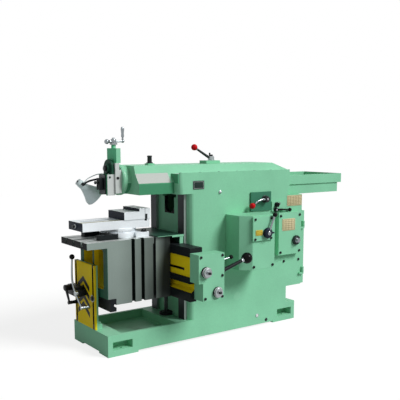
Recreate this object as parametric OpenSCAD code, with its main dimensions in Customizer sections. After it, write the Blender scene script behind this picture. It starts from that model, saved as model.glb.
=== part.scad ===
// Crank shaper: base, column, ram with tool head, cross rail, box table and swivel vise.
// Millimetres. Origin on the floor in the middle of the foundation bolts.
// X runs along the ram with the tool head at minus X, the operating side faces minus Y, Z is up.

/* [Base] */
// Length of the base casting
base_l = 1900; // [1880:5:1960]
// Width of the base and of the column
base_w = 585; // [570:5:620]
// Height of the base
base_h = 165; // [155:1:170]
// Wall of the base casting
base_wall = 28; // [22:1:36]
// Depth of the chip tray in front of the column
tray_depth = 70; // [30:1:80]
// Distance from the base's ends to the foundation bolts
foot_end = 125; // [120:1:135]
// Distance from the base's sides to the foundation bolts
foot_side = 45; // [42:1:50]
// Diameter of a foundation bolt hole
foot_hole_d = 28; // [20:1:34]

/* [Column] */
// Wall of the column casting
col_wall = 26; // [22:1:28]
// Radius of the column's front corners
col_corner_r = 40; // [15:1:60]
// Width of one vertical way
way_w = 85; // [70:1:95]
// Distance from the column's sides to the vertical ways
way_side = 42.5; // [38:0.5:52]
// Forward overhang of the ram guide housing
head_over = 100; // [60:1:110]
// Height of the column's top
col_top = 1358; // [1354:1:1366]

/* [Drive] */
// Teeth of the bull gear
bull_teeth = 60; // [60:15:60]
// Teeth of the pinion
pinion_teeth = 15; // [15:1:15]
// Gear module
gear_m = 8; // [7.6:0.1:8]
// Radius of the crank pin's circle
crank_r = 150; // [130:1:160]
// Face width of the gears
gear_w = 60; // [40:1:64]
// Radius of the large belt pulley
pulley_r = 140; // [110:1:150]
// Radius of the motor pulley
motor_pulley_r = 62; // [50:1:70]
// Radius of the motor's body
motor_r = 95; // [80:1:100]

/* [Ram] */
// Length of the ram
ram_l = 1570; // [1500:5:1580]
// Distance from the column's sides to the ram's sole
ram_side = 63.5; // [62:0.5:72]
// Inset of the ram's top from its sole
ram_top_in = 77; // [72:1:88]
// Inset of the dovetail's narrow end from the sole
ram_neck_in = 57; // [54:1:64]
// Rise of the ram's top over the column's top
ram_rise = 57; // [48:1:62]
// Radius of the ring that carries the tool head
ring_r = 112; // [100:1:118]

/* [Tool head] */
// Half width of the tool slide
slide_half = 85; // [75:1:95]
// Thickness of the tool slide
slide_t = 34; // [30:1:38]
// Height of the tool slide's machined face
slide_low_h = 223; // [200:1:226]
// Radius of the down-feed crank
crank_arm = 80; // [60:1:85]
// Rim radius of the lamp shade
lamp_r = 82; // [60:1:84]

/* [Cross rail] */
// Length of the cross rail
rail_l = 995; // [960:5:1000]
// Height of the cross rail
rail_h = 397; // [390:1:402]
// Diameter of the cross feed screw
feed_screw_d = 26; // [20:1:28]
// Diameter of the elevating screw
lift_screw_d = 34; // [28:1:38]
// Thread depth of the elevating screw
thread_h = 3; // [2.5:0.5:4]

/* [Table] */
// Width of the table
table_w = 450; // [430:5:455]
// Height of the table's top
table_top = 865; // [860:1:868]
// Thickness of the top slab
slab_t = 50; // [46:1:56]
// Width of a T-slot's mouth
slot_w = 22; // [16:1:24]
// Wall of the table box
table_wall = 60; // [56:1:66]
// Height of the support plate
support_h = 502; // [480:1:510]
// Thickness of the support plate
support_t = 28; // [20:1:30]

/* [Vise] */
// Width of the jaws
jaw_w = 260; // [220:2:266]
// Height of the jaws over the bed
jaw_h = 83; // [70:1:86]
// Length of the movable jaw
jaw_l = 184; // [150:1:186]
// Length of the movable jaw's raised rear part
jaw_cap_l = 50; // [40:1:60]
// Rise of that rear part over the jaw's front
jaw_cap_h = 22; // [15:1:28]
// Diameter of the vise screw
vise_screw_d = 30; // [24:1:34]

/* [Hidden] */
$fn = 96;
// Gap between parts that slide on each other
gap = 0.4;
// Radial clearance of a running fit
run = 0.05;
hw = base_w / 2;
bx0 = -base_l / 2;
bx1 = base_l / 2;
foot_dx = base_l - 2 * foot_end;
foot_dy = base_w - 2 * foot_side;
// shifts of the front, middle and rear groups when the base's length changes
fx = bx0 + 950;
rx = bx1 - 950;
mx = (fx + rx) / 2;
// column stations along X
col_front = fx - 210;
col_rear = rx + 843;
way_front = col_front - 26;
head_front = col_front - head_over;
head_rear = col_rear + 23;
step_rear = col_rear + 179;
head_z = col_top - 168;
step_z = head_z - 57;
rear_z0 = base_h + 147;
rear_wall = 18;
way_span = base_w - 2 * way_side;
// ram section
ram_half = hw - ram_side;
ram_top_half = ram_half - ram_top_in;
ram_neck_half = ram_half - ram_neck_in;
ram_z0 = head_z + 6;
dove_z0 = head_z + 86;
dove_z1 = col_top - 1;
ram_top = col_top + ram_rise;
ram_x0 = fx - 630;
ram_x1 = ram_x0 + ram_l;
ram_wall = 30;
post_x = ram_x0 + 234;
pivot_x = ram_x0 + 848;
strip_out = hw - 14.5;
strip_top = col_top - 8;
swivel_z = ram_z0 + 109;
// drive stations
drv_x = mx + 280;
rock_z = head_z - 890;
bull_z = head_z - 430;
pin_z = ram_z0 + 34;
pin_drop = pin_z - rock_z;
mid_back = 145;
half_stroke = 425;
rock_ratio = atan(half_stroke / pin_drop) / half_stroke;
rock_rest = rock_ratio * mid_back;
pin_x = drv_x + mid_back;
bull_r = bull_teeth * gear_m / 2;
pin_r = pinion_teeth * gear_m / 2;
mesh_a = -35;
shaft_x = drv_x + (bull_r + pin_r) * cos(mesh_a);
shaft_z = bull_z + (bull_r + pin_r) * sin(mesh_a);
motor_x = step_rear - 97;
motor_z = rear_z0 + 148;
motor_y0 = -hw + 102.5;
motor_y1 = hw - 200.5;
gear_y0 = -hw + 67.5;
belt_y = hw - 142.5;
rocker_t = 90;
crank_s = (bull_z - rock_z) * cos(rock_rest)
  + sqrt(pow(crank_r, 2) - pow((bull_z - rock_z) * sin(rock_rest), 2));
crank_x = drv_x + crank_s * sin(rock_rest);
crank_z = rock_z + crank_s * cos(rock_rest);
// operating side: the feed lever swings in front of the gear case
box_y1 = -rail_l / 2;
lever_y = box_y1 - 60;
lever_room = 25;
case_x0 = drv_x - 130;
case_x1 = drv_x + 200;
case_y = lever_y + lever_room;
case_z0 = bull_z - 195;
case_z1 = bull_z + 248;
plate_y = case_y - 15;
shift_x = case_x1 - 102;
shift_z = bull_z + 103;
shift_y = plate_y - 23.5;
cover_x0 = step_rear - 322;
cover_x1 = step_rear - 52;
cover_z0 = bull_z - 148;
cover_z1 = bull_z + 225;
cover_y = -hw - 50;
panel_x0 = step_rear - 611;
panel_x1 = panel_x0 + 227;
clutch_x = panel_x0 + 151;
clutch_z = step_z - 20;
clutch_y = -hw - 46;
brake_x = panel_x1 + 53;
brake_z = step_z - 121;
// head stations
disc_x1 = ram_x0 - 32;
disc_x0 = disc_x1 - 35;
plate_x0 = disc_x0 - 20;
head_z0 = swivel_z - 99;
head_z1 = head_z0 + slide_low_h + 10;
plate_z1 = head_z1 - 54;
slide_x0 = plate_x0 - slide_t;
slide_z1 = swivel_z + 244;
screw_room = 19;
screw_x = plate_x0 - 1;
clap_z = swivel_z + 90;
clap_x1 = slide_x0 - gap;
clap_back = clap_x1 - 20.4;
hinge_x = clap_x1 - 39.6;
hinge_z = swivel_z + 25;
lamp_n = [disc_x0 - 217, 187, swivel_z - 33];
lamp_arm_y = lamp_n[1] - 44;
lamp_tip = 90 + 40.2;
lamp_len = 161;
// rail stations
rail_x0 = way_front - 114;
rail_x1 = way_front - gap;
rail_z0 = table_top - 465;
rail_z1 = rail_z0 + rail_h;
feed_x = rail_x0 + 62;
feed_z = rail_z0 + 225;
lift_x = way_front - 14;
box_w = 115;
box_y0 = box_y1 - box_w;
box_x1 = rail_x0 + 242;
box_step = rail_z0 + 140;
box_z1 = rail_z0 + 360;
low_x = rail_x0 + 173;
low_z = rail_z0 + 60;
feed_px = box_x1 + 20;
feed_pz = rail_z0 + 204;
rev_px = box_x1 + 15;
rev_pz = rail_z0 + 290;
// table stations
th = table_w / 2;
tbl_x0 = fx - 910;
tbl_x1 = fx - 510;
slab_x0 = fx - 1071;
slab_x1 = fx - 500;
tbl_z0 = table_top - 489;
beam_z0 = table_top - 537;
beam_z1 = table_top - 440;
beam_x0 = tbl_x0 + 20;
beam_x1 = tbl_x0 + 70;
apron_x0 = fx - 484;
apron_x1 = rail_x0 - 1.5;
sup_y0 = -92;
sup_y1 = 258;
sup_x0 = bx0;
slot_a = sup_y1 - 26;
slot_b = sup_y0 + 30;
bolt_z = beam_z1 - 15;
knob_y = 190;
knob_z = beam_z1 + 37;
arm_y = 66;
arm_z = beam_z1 + 11;
// vise stations
vise_x = fx - 690;
vise_z0 = table_top + 40;
bed_z0 = table_top + 70;
bed_z1 = table_top + 135;
bed_x0 = vise_x - 362;
bed_x1 = vise_x + 215;
fix_x0 = vise_x + 170;
jaw_x1 = fix_x0 - 2;
jaw_x0 = jaw_x1 - jaw_l;
vise_sz = table_top + 103;
// lugs of the vise's foot on the outer T-slots
lug_y = 0.6 * th;
lug_h = 38;

// Box between two corners
module bx(x0, x1, y0, y1, z0, z1) {
  translate([x0, y0, z0]) cube([x1 - x0, y1 - y0, z1 - z0]);
}

// Cylinders along X, Y and Z
module cx(r, x0, x1, y, z) {
  translate([x0, y, z]) rotate([0, 90, 0]) cylinder(r = r, h = x1 - x0);
}

module cy(r, y0, y1, x, z) {
  translate([x, y0, z]) rotate([-90, 0, 0]) cylinder(r = r, h = y1 - y0);
}

module cz(r, z0, z1, x, y) {
  translate([x, y, z0]) cylinder(r = r, h = z1 - z0);
}

// Round rod from p to q
module rod(p, q, r) {
  d = q - p;
  l = norm(d);
  translate(p) rotate([0, acos(d[2] / l), atan2(d[1], d[0])]) cylinder(r = r, h = l);
}

// Profile in x and z drawn out along Y
module ext_y(y0, y1) {
  translate([0, y1, 0]) rotate([90, 0, 0]) linear_extrude(y1 - y0) children();
}

// Profile in y and z drawn out along X
module ext_x(x0, x1) {
  translate([x0, 0, 0]) rotate([90, 0, 90]) linear_extrude(x1 - x0) children();
}

module ball(r, x, y, z) {
  translate([x, y, z]) sphere(r = r);
}

// Ball past the end q of a rod from p, e further along, bored for the rod
module knob(r, p, q, e, bore) {
  d = q - p;
  l = norm(d);
  translate(q) rotate([0, acos(d[2] / l), atan2(d[1], d[0])]) difference() {
    translate([0, 0, e]) sphere(r = r);
    translate([0, 0, -r]) cylinder(r = bore, h = r + 0.3);
  }
}

// Hexagon bolt heads that stand out towards minus Y and up
module hex_y(r, y0, h, x, z) {
  translate([x, y0, z]) rotate([90, 0, 0]) cylinder(r = r, h = h, $fn = 6);
}

module hex_z(r, z0, h, x, y) {
  translate([x, y, z0]) cylinder(r = r, h = h, $fn = 6);
}

// Rectangle with round corners
module rrect(x0, x1, y0, y1, r) {
  translate([x0 + r, y0]) square([x1 - x0 - 2 * r, y1 - y0]);
  translate([x0, y0 + r]) square([x1 - x0, y1 - y0 - 2 * r]);
  for (x = [x0 + r, x1 - r], y = [y0 + r, y1 - r]) translate([x, y]) circle(r = r);
}

// Column plan with round front corners
module col_plan(x0, x1) {
  r = col_corner_r;
  translate([x0 + r, -hw]) square([x1 - x0 - r, base_w]);
  translate([x0, -hw + r]) square([r + 1, base_w - 2 * r]);
  for (s = [-1, 1]) translate([x0 + r, s * (hw - r)]) circle(r = r);
}

// Toothed disc, first tooth at angle turn
module gear2d(n, turn) {
  r = n * gear_m / 2;
  p = 360 / n;
  polygon([for (i = [0:n - 1], k = [0:3])
    let (
      a = turn + i * p + [-0.29, -0.12, 0.12, 0.29][k] * p,
      q = (k == 1 || k == 2) ? r + 0.85 * gear_m : r - 1.15 * gear_m
    ) q * [cos(a), sin(a)]]);
}

// Outline of a belt round two pulleys, radius r1 at a and r2 at b
module belt2d(a, r1, b, r2) {
  d = b - a;
  l = norm(d);
  t = atan2(d[1], d[0]);
  f = acos((r1 - r2) / l);
  translate(a) circle(r = r1);
  translate(b) circle(r = r2);
  polygon([
    a + r1 * [cos(t + f), sin(t + f)], a + r1 * [cos(t - f), sin(t - f)],
    b + r2 * [cos(t - f), sin(t - f)], b + r2 * [cos(t + f), sin(t + f)]
  ]);
}

// T-slot along X cut down from z1
module tslot_x(x0, x1, y, z1) {
  bx(x0, x1, y - slot_w / 2, y + slot_w / 2, z1 - 32, z1 + 1);
  bx(x0, x1, y - slot_w * 0.85, y + slot_w * 0.85, z1 - 36, z1 - 20);
}

module base() {
  color("#7cc7a2") difference() {
    bx(bx0, bx1, -hw, hw, 0, base_h);
    bx(bx0 + 260, bx1 - 260, -hw - 1, hw + 1, -1, 14);
    bx(bx0 - 1, bx1 + 1, -hw + 150, hw - 150, -1, 14);
    bx(bx0 + 260, col_front - 120, -hw + base_wall, hw - base_wall, -1, base_h - tray_depth - 26);
    bx(col_front - 90, bx1 - 260, -hw + base_wall, hw - base_wall, -1, base_h - 28);
    bx(bx0 + 130, col_front - 120, -hw + base_wall, hw - base_wall, base_h - tray_depth, base_h + 1);
    for (sx = [-1, 1], sy = [-1, 1]) {
      bx(sx * foot_dx / 2 - 84, sx * foot_dx / 2 + 84, sy > 0 ? foot_dy / 2 - 45 : -hw - 1,
        sy > 0 ? hw + 1 : -foot_dy / 2 + 45, 48, 112);
      cz(foot_hole_d / 2, -1, 49, sx * foot_dx / 2, sy * foot_dy / 2);
    }
    cy(12, -hw - 1, -hw + 12, bx1 - 339, 40);
    cy(13, -hw - 1, -hw + 6, bx1 - 445, 94);
  }
}

module column() {
  color("#8fd5b0") difference() {
    union() {
      difference() {
        union() {
          translate([0, 0, base_h]) linear_extrude(head_z - base_h) col_plan(col_front, col_rear);
          translate([0, 0, head_z]) linear_extrude(col_top - head_z) col_plan(head_front, head_rear);
          bx(col_rear - 1, step_rear, -hw, hw, rear_z0, step_z);
          for (s = [-1, 1])
            bx(way_front, col_front + 1, s > 0 ? way_span / 2 - way_w : -way_span / 2,
              s > 0 ? way_span / 2 : -way_span / 2 + way_w, base_h, head_z);
        }
        bx(col_front + col_wall, col_rear - col_wall, -hw + col_wall, hw - col_wall,
          base_h + col_wall, head_z - 30);
        bx(col_rear - col_wall - 1, step_rear + 1, -hw + rear_wall, hw - rear_wall,
          rear_z0 + rear_wall, step_z - 163);
        bx(col_rear - col_wall - 1, step_rear - rear_wall, -hw + rear_wall, hw - rear_wall,
          step_z - 164, step_z - rear_wall);
      }
      cy(80, -hw + 5, gear_y0 - 3, drv_x, bull_z);
      for (s = [-1, 1]) cy(58, s > 0 ? 48 : -hw + 5, s > 0 ? hw - 5 : -48, drv_x, rock_z);
      cy(50, -hw + 5, gear_y0 - 3, shaft_x, shaft_z);
      cy(50, hw - 57.5, hw - 5, shaft_x, shaft_z);
      for (z = [rear_z0 + 108, rear_z0 + 528]) {
        bx(step_rear - 30, step_rear, -hw - 20, -hw + 1, z - 16, z - gap);
        bx(step_rear - 1, step_rear + 14, -hw - 20, -hw - 1, z - 16, z - gap);
        cz(11, z - 16, z - gap, step_rear + 14, -hw - 10);
        cz(6, z - 1, z + 50, step_rear + 14, -hw - 10);
      }
    }
    bx(head_front - 1, head_rear + 1, -ram_half - gap, ram_half + gap, ram_z0 - gap, dove_z0 + 1);
    bx(head_front - 1, head_rear + 1, -strip_out, strip_out, dove_z0 + 0.5, col_top + 1);
    bx(col_front - 6, col_rear - 47, -100, 100, head_z - 40, ram_z0);
    bx(head_front - 1, col_front + col_wall + 1, -70, 70, head_z - 100, ram_z0);
    cx(70, head_front - 1, col_front + col_wall + 1, 0, head_z - 100);
    cy(45, -hw - 1, gear_y0, drv_x, bull_z);
    cy(35, -hw - 1, hw + 1, drv_x, rock_z);
    cy(25 + run, -hw + 8, hw - 8, shaft_x, shaft_z);
    cz(58, base_h - 1, base_h + 26, lift_x, 0);
    cy(16, -hw - 1, -hw + 12, clutch_x, clutch_z);
    cy(10, -hw - 1, -hw + 12, brake_x, brake_z);
  }
}

module guide_strips() {
  run_z = (dove_z1 - strip_top) * (ram_half - ram_neck_half) / (dove_z1 - dove_z0);
  color("#c9cbc8") for (s = [-1, 1])
    ext_x(head_front, head_rear) polygon([
      [s * (ram_half + 0.8), dove_z0 + 0.5], [s * strip_out, dove_z0 + 0.5],
      [s * strip_out, strip_top], [s * (ram_neck_half + run_z + 0.8), strip_top]
    ]);
}

module cover_bolts() {
  color("#3a4742") {
    for (s = [-1, 1], x = [head_front + 40:190:head_rear - 26]) hex_z(11, strip_top, 7, x, s * (strip_out - 23));
    for (x = [shift_x - 123, shift_x + 47], z = [shift_z - 45, shift_z + 117]) hex_y(9, plate_y, 7, x, z);
    for (x = [case_x0 + 106, case_x1 - 22]) hex_y(10, case_y, 8, x, case_z0 + 25);
    for (x = [cover_x0 + 22, cover_x1 - 22], z = [cover_z0 + 24, cover_z1 - 27]) hex_y(10, cover_y, 8, x, z);
    for (x = [cover_x0 + 110, cover_x1 + 20]) hex_y(10, -hw, 8, x, case_z0 - 22);
  }
}

module case_plan(t) {
  polygon([[case_x0 + t, -hw], [case_x0 + t, case_y + 62.5 + t / 2], [case_x0 + 92 + t / 2, case_y + t],
    [case_x1 - t, case_y + t], [case_x1 - t, -hw]]);
}

module gear_case() {
  color("#86cda3") difference() {
    translate([0, 0, case_z0]) linear_extrude(case_z1 - case_z0) case_plan(0);
    translate([0, 0, case_z0 + 18]) linear_extrude(case_z1 - case_z0 - 36) case_plan(18);
    bx(case_x0 + 18, case_x1 - 18, -hw - 4, -hw + 1, case_z0 + 18, case_z1 - 18);
    cy(16 + run, case_y - 8, case_y + 22, shift_x, shift_z);
  }
}

module shift_plate() {
  color("#8fd5b0") difference() {
    bx(shift_x - 146, shift_x + 68, plate_y, case_y, shift_z - 60, shift_z + 137);
    cy(16 + run, plate_y - 3, case_y + 3, shift_x, shift_z);
  }
}

module access_cover() {
  color("#8fd5b0") {
    difference() {
      bx(cover_x0, cover_x1, cover_y, -hw, cover_z0, cover_z1);
      bx(cover_x0 + 18, cover_x1 - 18, cover_y + 14, -hw + 1, cover_z0 + 18, cover_z1 - 18);
    }
    cy(42, cover_y - 18, cover_y, cover_x1 - 68, cover_z0 + 121);
  }
}

module control_panels() {
  color("#4a7f68") {
    difference() {
      bx(panel_x0, panel_x1, -hw - 14, -hw, clutch_z - 98, clutch_z + 62);
      cy(16 + run, -hw - 15, -hw + 1, clutch_x, clutch_z);
    }
    difference() {
      bx(brake_x - 41, brake_x + 99, -hw - 12, -hw, brake_z - 12, brake_z + 73);
      cy(10 + run, -hw - 13, -hw + 1, brake_x, brake_z);
    }
    cy(17, -hw - 34, -hw - 12, brake_x + 11, brake_z + 44);
  }
}

module label_plates() {
  color("#c9a46a") {
    bx(step_rear - 185, step_rear - 4, -hw - 3, -hw, step_z - 99, step_z - 5);
    bx(cover_x0 + 38, cover_x1 - 78, cover_y - 3, cover_y, cover_z0 + 213, cover_z0 + 318);
    bx(shift_x - 120, shift_x - 46, plate_y - 3, plate_y, shift_z - 16, shift_z + 29);
    bx(col_front + 33, col_front + 141, -hw - 4, -hw, head_z + 34, head_z + 102);
  }
}

module ram_guard() {
  w = ram_half + 20;
  l = ram_half + 8;
  color("#8fd5b0") difference() {
    union() {
      bx(head_rear, head_rear + 711, -w, w, ram_z0 + 24, ram_z0 + 107);
      bx(head_rear, head_rear + 672, -l, l, step_z, ram_z0 + 25);
    }
    bx(head_rear - 1, head_rear + 705, -l + 6, l - 6, ram_z0 + 30, ram_z0 + 108);
    bx(head_rear - 1, head_rear + 666, -l + 6, l - 6, ram_z0 - 8, ram_z0 + 31);
    bx(head_rear + 6, head_rear + 666, -l + 6, l - 6, step_z + 6, ram_z0 - 7);
  }
}

module motor() {
  color("#5d6f68") difference() {
    union() {
      cy(motor_r, motor_y0, motor_y1, motor_x, motor_z);
      cy(motor_r - 12, motor_y0 - 22, motor_y1 + 18, motor_x, motor_z);
      bx(motor_x - 80, motor_x + 80, motor_y0 + 40, motor_y1 - 42, rear_z0 + rear_wall, motor_z - motor_r + 20);
      bx(motor_x - 40, motor_x + 40, motor_y0 + 80, motor_y1 - 82, motor_z + motor_r - 20, motor_z + motor_r + 40);
    }
    cy(19 + run, motor_y1 - 52, motor_y1 + 19, motor_x, motor_z);
  }
}

module v_belts() {
  color("#1d1f20") for (y = [belt_y + 12, belt_y + 36])
    ext_y(y, y + 14) difference() {
      belt2d([shaft_x, shaft_z], pulley_r - 2, [motor_x, motor_z], motor_pulley_r - 2);
      belt2d([shaft_x, shaft_z], pulley_r - 11, [motor_x, motor_z], motor_pulley_r - 11);
    }
}

// Pulley with two grooves along Y
module pulley(r, x, z) {
  difference() {
    cy(r, belt_y, belt_y + 62, x, z);
    for (y = [belt_y + 11, belt_y + 35]) difference() {
      cy(r + 1, y, y + 16, x, z);
      cy(r - 12, y - 1, y + 17, x, z);
    }
  }
}

module fixed_pins() {
  color("#b9bcba") {
    cy(45 - run, -hw, gear_y0 + gear_w + 8, drv_x, bull_z);
    cy(35 - run, -hw, hw, drv_x, rock_z);
  }
}

module elevating_screw() {
  color("#2d3331") {
    cz(lift_screw_d / 2 - thread_h, base_h + 24, rail_z0 + 240, lift_x, 0);
    cz(56, base_h, base_h + 24.5, lift_x, 0);
  }
}

module oil_fittings() {
  color("#e8ecea") {
    cy(12.9, -hw - 4, -hw + 6, bx1 - 445, 94);
    cy(11.9, -hw - 6, -hw + 12, bx1 - 339, 40);
    cy(14, -hw - 16, -hw, col_front + 302, head_z + 3);
  }
}

module rear_door() {
  color("#6fb894") {
    difference() {
      union() {
        bx(step_rear + gap, step_rear + 34, -hw + 2, hw - 2, rear_z0 + 6, step_z - 149);
        for (z = [rear_z0 + 108, rear_z0 + 528]) bx(step_rear + 4, step_rear + 24, -hw - 8, -hw + 4, z, z + 50);
        for (z = [rear_z0 + 108, rear_z0 + 528]) cz(12, z, z + 50, step_rear + 14, -hw - 10);
        bx(step_rear + 33, step_rear + 46, hw - 60, hw - 40, rear_z0 + 288, rear_z0 + 408);
      }
      bx(step_rear - 1, step_rear + 26, -hw + 20, hw - 20, rear_z0 + 24, step_z - 167);
      for (z = [rear_z0 + 108, rear_z0 + 528]) cz(6 + run, z - 1, z + 51, step_rear + 14, -hw - 10);
    }
  }
}

module bull_gear() {
  color("#9da29f") difference() {
    union() {
      ext_y(gear_y0, gear_y0 + gear_w) translate([drv_x, bull_z]) gear2d(bull_teeth, mesh_a);
      cy(82, gear_y0, gear_y0 + gear_w + 6, drv_x, bull_z);
    }
    cy(45, gear_y0 - 1, gear_y0 + gear_w + 7, drv_x, bull_z);
    for (a = [mesh_a:60:mesh_a + 330])
      cy(34, gear_y0 - 1, gear_y0 + 24, drv_x + 150 * cos(a), bull_z + 150 * sin(a));
  }
}

module crank_pin() {
  y1 = gear_y0 + gear_w;
  color("#c9cbc8") translate([crank_x, 0, crank_z]) {
    rotate([0, -atan2(crank_z - bull_z, crank_x - drv_x), 0]) bx(-52, 52, y1, y1 + 28, -40, 40);
    cy(25, y1 + 27, -rocker_t / 2 - 1.5, 0, 0);
  }
}

module drive_shaft() {
  color("#a8aeab") {
    cy(25, -hw + 12, hw - 12, shaft_x, shaft_z);
    difference() {
      union() {
        ext_y(gear_y0 + 2, gear_y0 + gear_w - 2) translate([shaft_x, shaft_z])
          gear2d(pinion_teeth, mesh_a + 180 + 180 / pinion_teeth);
        cy(40, gear_y0 + gear_w - 3, gear_y0 + gear_w + 18, shaft_x, shaft_z);
      }
      cy(25, gear_y0 - 1, gear_y0 + gear_w + 20, shaft_x, shaft_z);
    }
    difference() {
      pulley(pulley_r, shaft_x, shaft_z);
      cy(25, belt_y - 1, belt_y + 63, shaft_x, shaft_z);
      for (a = [0:60:300])
        cy(28, belt_y - 1, belt_y + 63, shaft_x + 84 * cos(a), shaft_z + 84 * sin(a));
    }
  }
}

module motor_pulley() {
  color("#a8aeab") {
    cy(19, motor_y1 - 42, belt_y + 62, motor_x, motor_z);
    difference() {
      pulley(motor_pulley_r, motor_x, motor_z);
      cy(19, belt_y - 1, belt_y + 63, motor_x, motor_z);
    }
  }
}

module rocker_arm() {
  color("#7f8a85") translate([drv_x, 0, rock_z]) rotate([0, rock_rest, 0])
    ext_y(-rocker_t / 2, rocker_t / 2) difference() {
      union() {
        circle(r = 78);
        polygon([[-66, 20], [66, 20], [66, 1066], [-66, 1066]]);
      }
      circle(r = 35);
      translate([-32, 300]) square([64, 380]);
      translate([-44, 870]) square([88, 200]);
    }
}

module slide_block() {
  color("#b98a3c") translate([drv_x, 0, rock_z]) rotate([0, rock_rest, 0])
    bx(-32 + 0.1, 32 - 0.1, -rocker_t / 2, rocker_t / 2, crank_s - 50, crank_s + 50);
}

module shift_lever() {
  color("#c3c8c6") {
    cy(16, plate_y - 0.5, case_y + 20.5, shift_x, shift_z);
    cy(42, plate_y - 32.5, plate_y - gap, shift_x, shift_z);
    rod([shift_x + 14, shift_y, shift_z + 32], [shift_x + 60, shift_y, shift_z + 131], 7);
  }
}

module shift_knob() {
  color("#17191a") knob(20, [shift_x + 14, shift_y, shift_z + 32], [shift_x + 60, shift_y, shift_z + 131],
    17, 7 + gap / 2);
}

module clutch_lever() {
  color("#c3c8c6") {
    cy(16, -hw - 54, -hw + 10, clutch_x, clutch_z);
    cy(30, -hw - 58, -hw - 14 - gap, clutch_x, clutch_z);
    rod([clutch_x - 22, clutch_y, clutch_z - 7], [clutch_x - 142, clutch_y, clutch_z - 42], 8);
  }
}

module clutch_knob() {
  color("#d0101a") knob(25, [clutch_x - 22, clutch_y, clutch_z - 7], [clutch_x - 142, clutch_y, clutch_z - 42],
    20.8, 8 + gap / 2);
}

module brake_lever() {
  color("#17191a") {
    cy(10, -hw - 30, -hw + 10, brake_x, brake_z);
    cy(17, -hw - 32, -hw - 12 - gap, brake_x, brake_z);
    rod([brake_x + 9, -hw - 24, brake_z], [brake_x + 145, -hw - 24, brake_z - 6], 6);
    ball(17, brake_x + 160, -hw - 24, brake_z - 7);
  }
}

module ram_section() {
  polygon([
    [-ram_half, ram_z0], [ram_half, ram_z0], [ram_half, dove_z0 - 0.5], [ram_neck_half, dove_z1],
    [ram_top_half, ram_top], [-ram_top_half, ram_top], [-ram_neck_half, dove_z1],
    [-ram_half, dove_z0 - 0.5]
  ]);
}

module ram() {
  color("#8fd5b0") difference() {
    union() {
      ext_x(ram_x0, ram_x1) ram_section();
      cx(ring_r, disc_x1 + gap, ram_x0 + 40, 0, swivel_z);
    }
    bx(ram_x0 + 60, ram_x1 + 1, -110, 110, ram_z0 - 1, ram_top - ram_wall);
    for (s = [-1, 1]) bx(ram_x0 + 60, ram_x1 - 40, s > 0 ? 125 : -195, s > 0 ? 195 : -125,
      ram_z0 - 1, ram_z0 + 50);
    ext_y(-ram_half - 1, ram_half + 1)
      polygon([[ram_x1 - 160, ram_top + 1], [ram_x1 + 1, ram_top + 1], [ram_x1 + 1, ram_top - 60]]);
    cx(40 + run, disc_x1 - 1, ram_x0 + 45, 0, swivel_z);
    cz(15, ram_top - ram_wall - 1, ram_top + 1, post_x, 0);
  }
}

module ram_block() {
  z1 = ram_top - ram_wall;
  color("#8a938f") {
    bx(pin_x - 237, pin_x - 95, -80, 80, ram_z0 + 94, z1);
    for (s = [-1, 1]) bx(pin_x - 97, pin_x + 40, s > 0 ? 55 : -80, s > 0 ? 80 : -55, ram_z0, z1);
    cy(30, -56, 56, pin_x, pin_z);
  }
}

module position_drive() {
  color("#202425") {
    cx(18, ram_x0 + 60, pin_x - 237, 0, ram_z0 + 134);
    cz(13, ram_z0 + 134, ram_top + 55, post_x, 0);
    cz(17, ram_top + 12, ram_top + 74, post_x, 0);
  }
}

module ram_covers() {
  color("#8fd5b0") {
    difference() {
      bx(post_x - 30, post_x + 30, -28, 28, ram_top, ram_top + 12);
      cz(13 + run, ram_top - 1, ram_top + 13, post_x, 0);
    }
    bx(pivot_x - 86, pivot_x + 60, -50, 50, ram_top, ram_top + 26);
    cz(14 - run, ram_top + 25, ram_top + 64, pivot_x, 0);
    cz(7, ram_top + 25, ram_top + 90, pivot_x + 15, 40);
  }
}

module clamp_lever() {
  color("#c3c8c6") {
    difference() {
      cz(27, ram_top + 26 + gap, ram_top + 60, pivot_x, 0);
      cz(14, ram_top + 25, ram_top + 61, pivot_x, 0);
    }
    rod([pivot_x - 22, 0, ram_top + 50], [pivot_x - 160, 0, ram_top + 129], 9);
  }
}

module clamp_knob() {
  color("#d0101a") knob(27, [pivot_x - 22, 0, ram_top + 50], [pivot_x - 160, 0, ram_top + 129],
    17, 9 + gap / 2);
}

module swivel_plate() {
  color("#c9cbc8") difference() {
    union() {
      cx(118, disc_x0 - 1, disc_x1, 0, swivel_z);
      cx(40, disc_x1 - 1, ram_x0 + 40, 0, swivel_z);
      bx(plate_x0, disc_x0, -slide_half, slide_half, head_z0, plate_z1);
      ext_z(head_z0, plate_z1) polygon([[plate_x0 + 1, -38], [plate_x0 + 1, 38],
        [plate_x0 - 20, 50], [plate_x0 - 20, -50]]);
    }
    bx(plate_x0 - 30, screw_x + screw_room, -screw_room, screw_room, head_z0 - 1, plate_z1 + 1);
  }
}

// Profile in x and y drawn up from z0
module ext_z(z0, z1) {
  translate([0, 0, z0]) linear_extrude(z1 - z0) children();
}

module tool_slide() {
  color("#c9cbc8") difference() {
    union() {
      difference() {
        bx(slide_x0, plate_x0 - gap, -slide_half, slide_half, head_z0, head_z1);
        ext_z(head_z0 - 1, head_z1 - 1) polygon([[plate_x0 + 1, -38.6], [plate_x0 + 1, 38.6],
          [plate_x0 - 20.5, 51], [plate_x0 - 20.5, -51]]);
      }
      bx(slide_x0 + 15, disc_x0 - 2, 10 - slide_half, slide_half - 10, head_z1 - 2, slide_z1);
      cz(18, slide_z1 - 1, slide_z1 + 26, screw_x, 0);
      cx(18, clap_x1 - 30, slide_x0 + 1, 0, clap_z);
    }
    cz(13 + run, head_z1 - 3, slide_z1 + 30, screw_x, 0);
  }
}

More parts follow.
